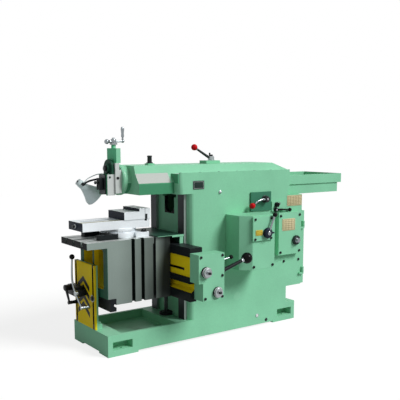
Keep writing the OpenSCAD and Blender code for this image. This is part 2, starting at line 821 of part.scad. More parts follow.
module feed_crank() {
  z1 = slide_z1 + 26;
  color("#c3c8c6") {
    cz(13, head_z0 + 60, z1 + 48, screw_x, 0);
    difference() {
      union() {
        cz(23, z1 + gap, z1 + 46, screw_x, 0);
        rod([screw_x - 58, 0, z1 + 24], [screw_x + crank_arm, 0, z1 + 28], 9);
        ball(19, screw_x - 58, 0, z1 + 24);
        ball(14, screw_x + crank_arm, 0, z1 + 28);
        cz(7, z1 + 28, z1 + 140, screw_x + crank_arm, 0);
      }
      cz(13, z1 - 1, z1 + 60, screw_x, 0);
    }
    difference() {
      cz(14, z1 + 64, z1 + 144, screw_x + crank_arm, 0);
      cz(7, z1 + 60, z1 + 140, screw_x + crank_arm, 0);
    }
  }
}

module clapper_box() {
  color("#3f4b47") difference() {
    union() {
      bx(clap_x1 - 20, clap_x1, -70, 70, hinge_z - 138, clap_z);
      cx(70, clap_x1 - 20, clap_x1, 0, clap_z);
      for (s = [-1, 1]) bx(hinge_x - 22, clap_x1 - 19, s > 0 ? 48 : -70, s > 0 ? 70 : -48,
        hinge_z - 138, hinge_z + 22);
      cx(38, clap_x1 - 40, clap_x1 - 19, 0, clap_z);
    }
    cx(18 + run, clap_x1 - 41, clap_x1 + 1, 0, clap_z);
    cy(9 + run, -71, 71, hinge_x, hinge_z);
  }
}

module clapper() {
  color("#9aa19d") {
    ext_y(-48 + gap, 48 - gap) polygon([[hinge_x - 32, hinge_z - 130], [clap_back, hinge_z - 130],
      [clap_back, hinge_z - 8], [hinge_x + 10, hinge_z + 12], [hinge_x - 10, hinge_z + 18],
      [hinge_x - 32, hinge_z + 18]]);
    cy(9, -66, -47, hinge_x, hinge_z);
    cy(9, 47, 66, hinge_x, hinge_z);
  }
}

module tool_post() {
  color("#17191a") {
    difference() {
      bx(hinge_x - 66, hinge_x - 32, -27, 27, hinge_z - 96, hinge_z - 6);
      bx(hinge_x - 58, hinge_x - 38, -11, 11, hinge_z - 143, hinge_z + 7);
      cx(9, hinge_x - 67, hinge_x - 57, 0, hinge_z - 40);
    }
    cx(9, hinge_x - 84, hinge_x - 58, 0, hinge_z - 40);
    translate([hinge_x - 96, 0, hinge_z - 40]) rotate([0, 90, 0]) cylinder(r = 13, h = 12, $fn = 6);
  }
}

module lamp_arm() {
  color("#17191a") {
    bx(disc_x0 - 19, disc_x0 - 3, slide_half, slide_half + 14, swivel_z - 15, swivel_z + 25);
    rod([disc_x0 - 11, slide_half + 8, swivel_z + 5], [disc_x0 - 11, lamp_arm_y, swivel_z + 5], 7);
    ball(7, disc_x0 - 11, lamp_arm_y, swivel_z + 5);
    rod([disc_x0 - 11, lamp_arm_y, swivel_z + 5], [lamp_n[0] + 2, lamp_arm_y, lamp_n[2] + 1], 7);
    cy(12, lamp_arm_y - 11, lamp_arm_y + 12, lamp_n[0], lamp_n[2]);
    cy(8 - run, lamp_arm_y + 11, lamp_arm_y + 28, lamp_n[0], lamp_n[2]);
  }
}

// Lamp shade, opening along its own axis
module lamp_shade() {
  color("#7f97a3") {
    difference() {
      translate(lamp_n) rotate([0, lamp_tip, 0]) rotate_extrude() polygon([
        [0, -30], [27, -30], [29, -26], [29, 32], [lamp_r, lamp_len - 22], [lamp_r, lamp_len],
        [lamp_r - 3, lamp_len], [lamp_r - 3, lamp_len - 22], [26, 34], [0, 34]
      ]);
      cy(8, lamp_arm_y + 7, lamp_arm_y + 29, lamp_n[0], lamp_n[2]);
    }
    translate(lamp_n) rotate([0, lamp_tip, 0]) {
      cylinder(r = 14, h = 62);
      translate([0, 0, 84]) sphere(r = 30);
    }
  }
}

module cross_rail() {
  r = rail_l / 2;
  color("#22282a") difference() {
    union() {
      bx(rail_x0, rail_x1, -r, r, rail_z0, rail_z1);
      bx(rail_x0, rail_x0 + 60, -r, r, rail_z0 - 20, rail_z0 + 1);
      bx(rail_x1 - 40, lift_x + 35, -60, 60, rail_z0, rail_z0 + 25);
    }
    bx(rail_x0 - 1, rail_x0 + 8, -r - 1, r + 1, rail_z0 + 170, rail_z0 + 328);
    ext_y(-r - 1, r + 1) polygon([[rail_x0 - 1, rail_z0 + 50], [rail_x0 + 10, rail_z0 + 50],
      [rail_x0 + 44, rail_z0 + 74], [rail_x0 + 44, rail_z0 + 120], [rail_x0 - 1, rail_z0 + 120]]);
    bx(rail_x0 + 7, rail_x0 + 26, -410, 410, feed_z - 10, feed_z + 10);
    bx(rail_x0 + 25, feed_x + 24, -410, 410, feed_z - 28, feed_z + 28);
    for (s = [-1, 1])
      bx(rail_x1 - 46, rail_x1 + 1, s > 0 ? 270 : -r + 25, s > 0 ? r - 25 : -270,
        rail_z0 + 180, rail_z1 - 24);
    bx(lift_x - 40, rail_x1 + 1, -150, 150, rail_z0 + 25, rail_z1 - 24);
    cy(feed_screw_d / 2 + run, -r - 1, r - 12, feed_x, feed_z);
    cz(30 + run, rail_z0 - 1, rail_z0 + 26, lift_x, 0);
  }
}

// Outline of the feed box, drawn in by t
module box_side(t) {
  polygon([[rail_x0 + 40 + t, rail_z0 + t], [box_x1 - t, rail_z0 + t], [box_x1 - t, box_z1 - t],
    [rail_x0 + t, box_z1 - t], [rail_x0 + t, box_step + t], [rail_x0 + 40 + t, box_step + t]]);
}

module feed_box() {
  color("#86cda3") difference() {
    union() {
      ext_y(box_y0, box_y1) box_side(0);
      cy(42, box_y0 - 22, box_y0 + 1, feed_x, feed_z);
      cy(42, box_y0 - 18, box_y0 + 1, low_x, low_z);
      bx(box_x1 - 1, feed_px + 20, lever_y + 17.5, lever_y + 31.5, feed_pz - 20, feed_pz + 22);
      cy(9 - run, lever_y - 16.5, lever_y + 18.5, feed_px, feed_pz);
      bx(box_x1 - 1, rev_px + 15, lever_y + 13.5, lever_y + 27.5, rev_pz - 16, rev_pz + 16);
      cy(6 - run, lever_y - 11.5, lever_y + 14.5, rev_px, rev_pz);
    }
    ext_y(box_y0 + 16, box_y1 - 10) box_side(16);
    cy(feed_screw_d / 2 + run, box_y0 - 30, box_y1 + 1, feed_x, feed_z);
    cy(13 + run, box_y0 - 30, box_y1 - 8, low_x, low_z);
  }
  color("#3a4742") for (p = [[rail_x0 + 20, box_z1 - 18], [box_x1 - 20, box_z1 - 18],
    [box_x1 - 20, rail_z0 + 185], [box_x1 - 20, rail_z0 + 20], [rail_x0 + 60, rail_z0 + 20]])
    hex_y(9, box_y0, 7, p[0], p[1]);
}

module cross_feed_screw() {
  y0 = box_y0 - 22;
  color("#c3c8c6") {
    cy(feed_screw_d / 2, y0 - 26, rail_l / 2 - 14, feed_x, feed_z);
    difference() {
      cy(36, y0 - 18, y0 - gap, feed_x, feed_z);
      cy(feed_screw_d / 2, y0 - 19, y0, feed_x, feed_z);
    }
    bx(feed_x - 9, feed_x + 9, y0 - 44, y0 - 25, feed_z - 9, feed_z + 9);
  }
}

module elevating_shaft() {
  y0 = box_y0 - 18;
  color("#c3c8c6") {
    cy(13, y0 - 14, box_y1 - 10, low_x, low_z);
    difference() {
      cy(36, y0 - 13, y0 - gap, low_x, low_z);
      cy(13, y0 - 15, y0, low_x, low_z);
    }
    bx(low_x - 9, low_x + 9, y0 - 32, y0 - 13, low_z - 9, low_z + 9);
  }
}

module lift_nut() {
  color("#b98a3c") difference() {
    union() {
      cz(30, rail_z0 - 4, rail_z0 + 26, lift_x, 0);
      cz(35, rail_z0 + 25 + gap, rail_z0 + 60, lift_x, 0);
    }
    cz(lift_screw_d / 2 + run, rail_z0 - 5, rail_z0 + 61, lift_x, 0);
  }
}

module feed_lever() {
  color("#17191a") {
    difference() {
      union() {
        cy(18, lever_y - 17.5, lever_y + 17.5 - gap, feed_px, feed_pz);
        rod([feed_px + 14, lever_y, feed_pz + 4], [feed_px + 213, lever_y, feed_pz + 65], 10);
      }
      cy(9, lever_y - 18.5, lever_y + 18.5, feed_px, feed_pz);
    }
    ball(45, feed_px + 250, lever_y, feed_pz + 75);
  }
}

module reverse_lever() {
  color("#c3c8c6") {
    difference() {
      union() {
        cy(13, lever_y - 12.5, lever_y + 13.5 - gap, rev_px, rev_pz);
        rod([rev_px + 9, lever_y, rev_pz + 2], [rev_px + 79, lever_y, rev_pz + 13], 6);
      }
      cy(6, lever_y - 13.5, lever_y + 14.5, rev_px, rev_pz);
    }
    ball(17, rev_px + 92, lever_y, rev_pz + 15);
  }
}

module chip_guard() {
  color("#86cda3") {
    bx(apron_x0 + 4, rail_x1 - 2, -250, 250, table_top + 1, table_top + 5);
    bx(rail_x0 + 1, rail_x1 - 2, -252, -248, table_top - 12, table_top + 5);
    bx(rail_x1 - 40, rail_x1 - 6, -250, 250, rail_z1, table_top + 2);
  }
}

module apron() {
  color("#3c4a45") difference() {
    union() {
      difference() {
        bx(apron_x0, apron_x1, -th, th, tbl_z0, table_top - 1);
        bx(apron_x0 + 34, apron_x1 + 1, -th + 34, th - 34, tbl_z0 + 160, tbl_z0 + 380);
        bx(apron_x0 + 34, apron_x1 + 1, -th + 34, th - 34, tbl_z0 + 30, tbl_z0 + 120);
      }
      bx(apron_x0 + 30, rail_x0 + 30, -40, 40, feed_z - 9, feed_z + 9);
      bx(rail_x0 + 29, feed_x + 18, -40, 40, feed_z - 22, feed_z + 22);
    }
    cy(feed_screw_d / 2 + run, -41, 41, feed_x, feed_z);
  }
}

module table() {
  z1 = table_top - slab_t;
  color("#9aa5a0") difference() {
    union() {
      bx(slab_x0, slab_x1, -th, th, z1, table_top);
      bx(tbl_x0, tbl_x1, -th, th, tbl_z0, z1 + 1);
      bx(tbl_x1 - 1, apron_x0, -th + 26, th - 26, tbl_z0 + 24, z1 - 14);
    }
    bx(tbl_x0 + 40, tbl_x1 - 40, -th + table_wall, th - table_wall, beam_z1 + 30, z1 - 20);
    bx(tbl_x0 + 90, tbl_x1 - 40, -th + table_wall, th - table_wall, tbl_z0 - 1, beam_z1 + 31);
    bx(tbl_x0 - 1, beam_x1 + 1, -th - 1, th + 1, tbl_z0 - 1, beam_z1);
    for (s = [-1, 1]) {
      ext_x(tbl_x0 - 1, tbl_x0 + 41)
        rrect(s > 0 ? 14 : -th + table_wall, s > 0 ? th - table_wall : -14, tbl_z0 + 116, z1 - 20, 24);
      for (x = [tbl_x1 - 176, tbl_x1 - 92]) {
        bx(x - slot_w / 2 - 4, x + slot_w / 2 + 4, s > 0 ? th - 24 : -th - 1,
          s > 0 ? th + 1 : -th + 24, tbl_z0 - 1, table_top + 1);
        bx(x - slot_w, x + slot_w, s > 0 ? th - 38 : -th + 20, s > 0 ? th - 20 : -th + 38,
          tbl_z0 - 1, table_top + 1);
      }
    }
    for (y = [-0.6 * th, 0, 0.6 * th]) tslot_x(slab_x0 - 1, slab_x1 + 1, y, table_top);
  }
}

module support_beam() {
  color("#3f7d64") difference() {
    bx(beam_x0, beam_x1, -th - 6, th + 30, beam_z0, beam_z1);
    bx(beam_x1 - 20, beam_x1 + 1, -th - 7, th + 31, beam_z0 + 30, beam_z0 + 55);
    for (y = [slot_a, slot_b]) cx(10, beam_x0 - 1, beam_x0 + 40, y, bolt_z);
  }
}

module clamp_block() {
  color("#1d2526") {
    difference() {
      union() {
        bx(sup_x0 - 70, sup_x0 - 3, arm_y + 20, slot_a + 20, bolt_z - 12, beam_z1 + 53);
        bx(sup_x0 - 70, sup_x0 - 3, arm_y - 22, arm_y + 21, arm_z - 22, arm_z + 22);
      }
      cx(14 + run, sup_x0 - 71, sup_x0 - 30, knob_y, knob_z);
      cx(14 + run, sup_x0 - 71, sup_x0 - 30, arm_y, arm_z);
    }
    cx(10 - run, sup_x0 - 4, beam_x0 + 38, slot_a, bolt_z);
    cx(10 - run, sup_x0 - 4, beam_x0 + 38, slot_b, bolt_z);
    translate([sup_x0 - 18, slot_b, bolt_z]) rotate([0, 90, 0]) cylinder(r = 18, h = 15, $fn = 6);
  }
}

module clamp_crank() {
  x0 = sup_x0 - 110;
  color("#202425") {
    cx(14, x0 - 16, sup_x0 - 32, knob_y, knob_z);
    rod([x0, knob_y - 6, knob_z - 10], [x0, knob_y - 56, knob_z - 98], 8);
    cx(16, x0 - 12, x0 + 74, knob_y - 61, knob_z - 107);
  }
}

module clamp_arm() {
  x0 = sup_x0 - 84;
  color("#c3c8c6") {
    cx(14, x0 - 12, sup_x0 - 32, arm_y, arm_z);
    cx(21, x0 - 10, sup_x0 - 70 - gap, arm_y, arm_z);
    rod([x0, arm_y + 6, arm_z + 6], [x0, arm_y + 62, arm_z + 88], 7);
    rod([x0, arm_y + 62, arm_z + 86], [x0, arm_y + 52, arm_z + 268], 7);
    ball(9, x0, arm_y + 62, arm_z + 87);
    ball(21, x0, arm_y + 52, arm_z + 280);
    rod([x0, arm_y - 6, arm_z - 10], [x0, arm_y - 96, arm_z - 86], 7);
    cx(15, x0 - 8, x0 + 70, arm_y - 102, arm_z - 92);
  }
}

module support_plate() {
  color("#bea50a") {
    difference() {
      bx(sup_x0, sup_x0 + support_t, sup_y0, sup_y1, base_h + gap, base_h + support_h);
      for (y = [slot_a, slot_b]) ext_x(sup_x0 - 1, sup_x0 + support_t + 1)
        rrect(y - 12, y + 12, base_h + 40, base_h + support_h - 16, 11.9);
    }
    bx(sup_x0 + support_t, sup_x0 + 58, sup_y0, sup_y1, base_h + gap, base_h + 44);
    hex_z(12, base_h + 44, 12, sup_x0 + 44, sup_y0 + 24);
  }
}

module vise_base() {
  color("#c3c9c9") {
    difference() {
      union() {
        cz(150, table_top, vise_z0, vise_x, 0);
        for (s = [-1, 1]) {
          bx(vise_x - 242, vise_x - 87, s > 0 ? lug_y - 35 : -lug_y - 25, s > 0 ? lug_y + 25 : -lug_y + 35,
            table_top, table_top + lug_h);
          bx(vise_x + 70, vise_x + 185, s > 0 ? lug_y - 35 : -lug_y - 25, s > 0 ? lug_y + 25 : -lug_y + 35,
            table_top, table_top + lug_h);
        }
      }
      cz(30 + run, table_top + 4, vise_z0 + 1, vise_x, 0);
    }
    for (s = [-1, 1], x = [vise_x - 165, vise_x + 152]) hex_z(18, table_top + lug_h, 20, x, s * lug_y);
  }
}

module vise_bed() {
  color("#dfe3e4") difference() {
    union() {
      cz(138, vise_z0 + gap, bed_z0 + 1, vise_x, 0);
      cz(30, table_top + 6, vise_z0 + 1, vise_x, 0);
      bx(bed_x0, bed_x1, -jaw_w / 2 + 8, jaw_w / 2 - 8, bed_z0, bed_z1);
      bx(fix_x0, bed_x1, -jaw_w / 2, jaw_w / 2, bed_z1 - 1, bed_z1 + jaw_h);
    }
    bx(bed_x0 + 40, fix_x0 - 10, -32, 32, bed_z0 + 12, bed_z1 + 1);
    cx(vise_screw_d / 2 + run, bed_x0 - 1, bed_x0 + 41, 0, vise_sz);
    cx(vise_screw_d / 2 + run, fix_x0 - 11, fix_x0 + 20, 0, vise_sz);
  }
}

module vise_jaw() {
  color("#dfe3e4") difference() {
    union() {
      bx(jaw_x0, jaw_x1, -jaw_w / 2, jaw_w / 2, bed_z1 + gap, bed_z1 + jaw_h);
      bx(jaw_x0 + 20, jaw_x1 - 30, -32 + gap, 32 - gap, bed_z0 + 14, bed_z1 + 1);
    }
    cx(vise_screw_d / 2 + run, jaw_x0 - 1, jaw_x1 + 1, 0, vise_sz);
    bx(jaw_x0 - 1, jaw_x1 - jaw_cap_l, -jaw_w, jaw_w, bed_z1 + jaw_h - jaw_cap_h, bed_z1 + jaw_h + 1);
  }
}

module vise_screw() {
  color("#8f9795") {
    cx(vise_screw_d / 2, bed_x0 - 8, fix_x0 + 10, 0, vise_sz);
    translate([bed_x0 - 26, -9, vise_sz - 9]) cube([19, 18, 18]);
  }
}

base();
column();
guide_strips();
cover_bolts();
gear_case();
shift_plate();
access_cover();
control_panels();
label_plates();
ram_guard();
motor();
v_belts();
fixed_pins();
elevating_screw();
oil_fittings();
rear_door();
bull_gear();
crank_pin();
drive_shaft();
motor_pulley();
rocker_arm();
slide_block();
shift_lever();
shift_knob();
clutch_lever();
clutch_knob();
brake_lever();
ram();
ram_block();
position_drive();
ram_covers();
clamp_lever();
clamp_knob();
swivel_plate();
lamp_arm();
lamp_shade();
tool_slide();
feed_crank();
clapper_box();
clapper();
tool_post();
cross_rail();
feed_box();
cross_feed_screw();
elevating_shaft();
lift_nut();
feed_lever();
reverse_lever();
chip_guard();
apron();
table();
support_beam();
clamp_block();
clamp_crank();
clamp_arm();
support_plate();
vise_base();
vise_bed();
vise_jaw();
vise_screw();
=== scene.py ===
import math
from collections import namedtuple
from itertools import product

import bmesh
import bpy
from bpy.props import FloatProperty, FloatVectorProperty, PointerProperty
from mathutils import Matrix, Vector


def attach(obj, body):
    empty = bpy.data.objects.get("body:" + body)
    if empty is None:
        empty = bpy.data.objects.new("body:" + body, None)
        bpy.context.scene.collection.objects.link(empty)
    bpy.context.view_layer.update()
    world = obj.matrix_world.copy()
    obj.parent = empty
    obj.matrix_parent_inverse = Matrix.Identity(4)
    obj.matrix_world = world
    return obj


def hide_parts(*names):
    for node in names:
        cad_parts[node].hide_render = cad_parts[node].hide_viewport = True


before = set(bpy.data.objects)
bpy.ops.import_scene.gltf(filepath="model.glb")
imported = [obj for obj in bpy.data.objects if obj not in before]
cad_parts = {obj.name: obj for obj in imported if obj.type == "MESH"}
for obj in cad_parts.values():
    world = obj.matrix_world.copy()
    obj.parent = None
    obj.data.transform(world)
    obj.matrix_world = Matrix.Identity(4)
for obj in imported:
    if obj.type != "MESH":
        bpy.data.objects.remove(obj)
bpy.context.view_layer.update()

bl_info = {
    "name": "Crank shaper dress",
    "version": (1, 0, 0),
    "blender": (4, 5, 0),
    "location": "View3D > Sidebar > Shaper",
    "description": "Finishes, fittings and studio for a crank shaper",
    "category": "Object",
}

MM = 0.001
X, Y, Z = Vector((1, 0, 0)), Vector((0, 1, 0)), Vector((0, 0, 1))

# Stations in millimetres of the shared frame
SIDE = -292.5
PLATE = -547.5
COVER = -342.5
CASE = -532.5
FEED_BOX = -612.5
LEVERS = -557.5
STRIP_TOP = 1350.0
FEED_AXIS = (-288.0, 625.0)
LOW_AXIS = (-177.0, 460.0)
LIFT_X = -250.0
SCREW_X = -718.0
SLIDE_TOP = 1575.0
HEAD_Z = 1305.0
VISE_X = -690.0
VISE_SCREW_Z = 968.0
LAMP_NECK = Vector((-914, 187, 1272))
LAMP_AXIS = Vector((0.7638, 0, -0.6455))

# Edges of thin sheet and of small hidden pieces, in metres, the angle under which faces are shaded
# as one, and the angle over which a cut edge is broken
SHEET_EDGE = 0.0012
FINE_EDGE = 0.001
SMOOTH_BELOW = math.radians(35)
SHARP_ABOVE = 0.5

# Sheen of enamel and oiled faces, of plated and turned metal, and the metallic share between the two
ENAMEL_SPECULAR = 0.08
METAL_SPECULAR = 0.5
BRIGHT_METAL = 0.5

# The metallic share over which a finish shows lines, and the cosine over which a face looks along a direction
LINED_ABOVE = 0.2
FACING_ABOVE = 0.4

# The camera of the photograph, in pixels of its 400 by 400 frame, metres and degrees
FRAME_PX = 400
FOCAL_PX = 641.41
SHIFT_PX = (-0.90, 28.92)
SENSOR_MM = 36.0
CAMERA_AT = (-3.0842, -4.4297, 1.5958)
CAMERA_YAW = 35.8045
CAMERA_PITCH = 7.7111

# The studio: where the key light points, how wide it is in degrees, and how the board shows white
KEY_AIM = Vector((-0.42, 0.63, -0.65))
KEY_WIDTH = 24
BOARD_GLOW = 1.12
BOARD_GLOW_SHARE = 0.72


def lin(code):
    """Turns an sRGB hex colour into linear RGBA."""
    parts = [int(code[i:i + 2], 16) / 255 for i in (1, 3, 5)]
    return tuple(v / 12.92 if v <= 0.04045 else ((v + 0.055) / 1.055) ** 2.4 for v in parts) + (1.0,)


def colour_prop(label, words, code):
    """A colour a user would change."""
    return FloatVectorProperty(name=label, description=words, subtype="COLOR", size=4, min=0.0, max=1.0,
                               default=lin(code))


def size_prop(label, words, mm):
    """A size a user would change, kept in metres."""
    return FloatProperty(name=label, description=words, subtype="DISTANCE", unit="LENGTH", default=mm * MM)


class ShaperColours(bpy.types.PropertyGroup):
    """Colours of the machine's paints and metals."""
    green: colour_prop("Machine green", "Enamel of the castings", "#8FD5AF")
    mid_green: colour_prop("Head green", "Enamel of the clapper box and the front of the strips", "#55A57B")
    deep_green: colour_prop("Deep green", "Enamel of the clutch panel", "#3F7D63")
    yellow: colour_prop("Signal yellow", "Enamel of the rail recesses and the table support", "#FFE21A")
    black: colour_prop("Rail black", "Enamel of the rail and small fittings", "#1E2224")
    # slate: painted shade on the vise's ends that look along -X, set as enamel of unmachined ends
    slate_shade: colour_prop("Slate", "Enamel on unmachined ends of the vise", "#1C2433")
    steel: colour_prop("Ground steel", "Ground faces", "#CBD0CE")
    turned: colour_prop("Turned steel", "Turned collars, hubs and shafts", "#A3A9AB")
    iron: colour_prop("Planed iron", "Planed sides of the table", "#8F9D97")
    chrome: colour_prop("Bright plating", "Levers and cranks", "#8A9194")
    lamp: colour_prop("Lamp blue", "Stoved enamel of the lamp shade", "#EAFBFC")
    red: colour_prop("Knob red", "Moulded red ball knobs", "#D3121C")
    tan: colour_prop("Label tan", "Faces of the bare labels", "#D6CBA2")
    bronze: colour_prop("Bronze", "The elevating nut and the slide block", "#B98A3C")


class ShaperSizes(bpy.types.PropertyGroup):
    """Sizes of the details that are added to the solids."""
    casting_edge: size_prop("Casting edge", "Radius on the edges of painted castings", 4.0)
    ground_edge: size_prop("Ground edge", "Radius on the edges of machined pieces and thin covers", 1.5)
    peel: size_prop("Orange peel", "Spacing of the ripple in sprayed enamel, coarse enough to show", 9.0)
    grind: size_prop("Grinding lines", "Spacing of grinding lines, coarse enough to show", 4.0)
    lift_pitch: size_prop("Elevating screw pitch", "Lead of the elevating screw's thread", 10.0)
    cross_pitch: size_prop("Cross feed pitch", "Lead of the cross feed screw's thread", 8.0)
    vise_pitch: size_prop("Vise screw pitch", "Lead of the vise screw's thread", 6.0)
    down_pitch: size_prop("Down-feed pitch", "Lead of the down-feed screw's thread", 5.0)


class ShaperStudio(bpy.types.PropertyGroup):
    """The studio round the machine."""
    key: FloatProperty(name="Key light", description="Strength of the key light", default=2.7, min=0.0)
    fill: FloatProperty(name="Fill", description="Strength of the white surround", default=0.22, min=0.0)
    floor: size_prop("Floor", "Half width of the floor", 14000.0)


def settings():
    """The scene's colours, sizes and studio."""
    return bpy.context.scene.shaper_colours, bpy.context.scene.shaper_sizes, bpy.context.scene.shaper_studio


# Materials

Coat = namedtuple("Coat", "colour metallic roughness")
FINISHES = {}


def put(tree, kind, sockets=None, **values):
    """Adds a node with its settings, and fills its sockets with values or links."""
    made = tree.nodes.new(kind)
    for key, value in values.items():
        setattr(made, key, value)
    for socket, value in (sockets or {}).items():
        if isinstance(socket, int):
            target = [s for s in made.inputs if s.enabled][socket]
        else:
            target = made.inputs[socket]
        if isinstance(value, bpy.types.Node):
            value = [s for s in value.outputs if s.enabled][0]
        if isinstance(value, bpy.types.NodeSocket):
            tree.links.new(value, target)
        else:
            target.default_value = value
    return made


class Ground:
    """What a finish's masks are made from: its node tree, the place in metres and the face's direction."""

    def __init__(self, tree):
        self.tree = tree
        coords = put(tree, "ShaderNodeTexCoord")
        self.where = coords.outputs["Object"]
        self.facing = coords.outputs["Normal"]
        self.axes = put(tree, "ShaderNodeSeparateXYZ", {0: self.where}).outputs

    def area(self, low, high, normal=None):
        """A mask that is 1 between two corners in millimetres, on faces along normal if that is given."""
        tests = []
        for axis, (a, b) in enumerate(zip(low, high)):
            if a is None and b is None:
                continue
            if a is None or b is None:
                side = (b if a is None else a) * MM
                tests.append(put(self.tree, "ShaderNodeMath", {0: self.axes[axis], 1: side},
                                 operation="LESS_THAN" if a is None else "GREATER_THAN"))
            else:
                middle, reach = (a + b) / 2 * MM, (b - a) / 2 * MM
                tests.append(put(self.tree, "ShaderNodeMath", {0: self.axes[axis], 1: middle, 2: reach},
                                 operation="COMPARE"))
        if normal is not None:
            dot = put(self.tree, "ShaderNodeVectorMath", {0: self.facing, 1: normal}, operation="DOT_PRODUCT")
            tests.append(put(self.tree, "ShaderNodeMath", {0: dot.outputs["Value"], 1: FACING_ABOVE},
                             operation="GREATER_THAN"))
        return self.joined("MULTIPLY", tests)

    def joined(self, operation, masks):
        """One mask from several: their overlap by MULTIPLY, or their sum by MAXIMUM."""
        whole = masks[0]
        for other in masks[1:]:
            whole = put(self.tree, "ShaderNodeMath", {0: whole, 1: other}, operation=operation)
        return whole


def surface(name, base, areas=(), grain="x", extra=None):
    """One finish: a base coat, areas painted or machined otherwise, and the ripple or lines of its making.

    Each area is a Coat and a list of zones. Enamel gets orange peel, metal gets fine lines along grain."""
    sizes = settings()[1]
    made = bpy.data.materials.new(name)
    made.use_nodes = True
    tree = made.node_tree
    tree.nodes.clear()
    ground = Ground(tree)
    values = list(base)
    layers = [(coat, ground.joined("MAXIMUM", [ground.area(*z) for z in zones])) for coat, zones in areas]
    if extra:
        layers.append(extra(ground))
    for coat, mask in layers:
        for i, value in enumerate(coat):
            if value != values[i]:
                values[i] = put(tree, "ShaderNodeMix", {0: mask, 1: values[i], 2: value},
                                data_type="FLOAT" if i else "RGBA")
    # broad cloudiness of a hand-filled casting or of handled metal
    cloud = put(tree, "ShaderNodeTexNoise", {"Vector": ground.where, "Scale": 4.0, "Detail": 4.0})
    tone = put(tree, "ShaderNodeMapRange", {"Value": cloud, "From Min": 0.3, "From Max": 0.7,
                                            "To Min": 0.94, "To Max": 1.04})
    peel = put(tree, "ShaderNodeTexNoise", {"Vector": ground.where, "Scale": 1 / sizes.peel, "Detail": 2.0})
    along = {"x": (0.03, 1, 1), "z": (1, 1, 0.03), "all": (1, 1, 1)}[grain]
    stretch = put(tree, "ShaderNodeVectorMath", {0: ground.where, 1: along}, operation="MULTIPLY")
    lines = put(tree, "ShaderNodeTexNoise", {"Vector": stretch, "Scale": 1 / sizes.grind, "Detail": 3.0})
    metal = values[1]
    if isinstance(metal, bpy.types.Node):
        height = put(tree, "ShaderNodeMix", {0: metal, 1: peel, 2: lines}, data_type="FLOAT")
    else:
        height = lines if metal > LINED_ABOVE else peel
    shade = put(tree, "ShaderNodeMapRange", {"Value": height, "From Min": 0.25, "From Max": 0.75,
                                             "To Min": 0.96, "To Max": 1.03})
    both = ground.joined("MULTIPLY", [tone, shade])
    tint = put(tree, "ShaderNodeMix", {0: 1.0, 1: values[0], 2: both}, data_type="RGBA",
               blend_type="MULTIPLY")
    vary = put(tree, "ShaderNodeMapRange", {"Value": cloud, "From Min": 0.3, "From Max": 0.7,
                                            "To Min": -0.05, "To Max": 0.07})
    rough = put(tree, "ShaderNodeMath", {0: values[2], 1: vary}, operation="ADD")
    bump = put(tree, "ShaderNodeBump", {"Strength": 0.12, "Distance": 0.0006, "Height": height})
    shader = put(tree, "ShaderNodeBsdfPrincipled", {
        "Base Color": tint, "Metallic": metal, "Roughness": rough, "Normal": bump,
        "Specular IOR Level": ENAMEL_SPECULAR if base.metallic < BRIGHT_METAL else METAL_SPECULAR})
    put(tree, "ShaderNodeOutputMaterial", {"Surface": shader})
    return made


def chevrons(ground):
    """Black chevrons that point up the face of the support plate, 42 mm bands on a 68 mm pitch."""
    mid, slope, pitch, band, apex, bottom, half = 0.105, 0.70, 0.068, 0.042, 0.560, 0.300, 0.105
    tree = ground.tree
    off = put(tree, "ShaderNodeMath", {0: ground.axes[1], 1: mid}, operation="SUBTRACT")
    off = put(tree, "ShaderNodeMath", {0: off}, operation="ABSOLUTE")
    rise = put(tree, "ShaderNodeMath", {0: off, 1: slope, 2: ground.axes[2]}, operation="MULTIPLY_ADD")
    turn = put(tree, "ShaderNodeMath", {0: apex, 1: rise}, operation="SUBTRACT")
    turn = put(tree, "ShaderNodeMath", {0: turn, 1: pitch}, operation="MODULO")
    mask = ground.joined("MULTIPLY", [
        put(tree, "ShaderNodeMath", {0: turn, 1: band}, operation="LESS_THAN"),
        put(tree, "ShaderNodeMath", {0: rise, 1: (apex + bottom) / 2, 2: (apex - bottom) / 2},
            operation="COMPARE"),
        put(tree, "ShaderNodeMath", {0: off, 1: half}, operation="LESS_THAN"),
        ground.area((-952, None, None), (-948, None, None), -X)])
    return Coat(tuple(settings()[0].black), 0.0, 0.45), mask


def painted_side_shade(x0, x1, share):
    """Painted shade that darkens a planed side from x0 to x1 in millimetres, and downwards."""
    def layer(ground):
        tree = ground.tree
        across = put(tree, "ShaderNodeMapRange", {"Value": ground.axes[0], "From Min": x0 * MM,
                                                  "From Max": x1 * MM})
        down = put(tree, "ShaderNodeMapRange", {"Value": ground.axes[2], "From Min": 0.80, "From Max": 0.36})
        both = put(tree, "ShaderNodeMath", {0: down, 1: 0.35, 2: across}, operation="MULTIPLY_ADD")
        mask = put(tree, "ShaderNodeMath", {0: both, 1: share}, operation="MULTIPLY", use_clamp=True)
        side = ground.area((-909, None, 300), (-351, None, 866), -Y)
        # dark grey-green of the painted shade
        return Coat(lin("#343A37"), 0.3, 0.4), ground.joined("MULTIPLY", [mask, side])
    return layer


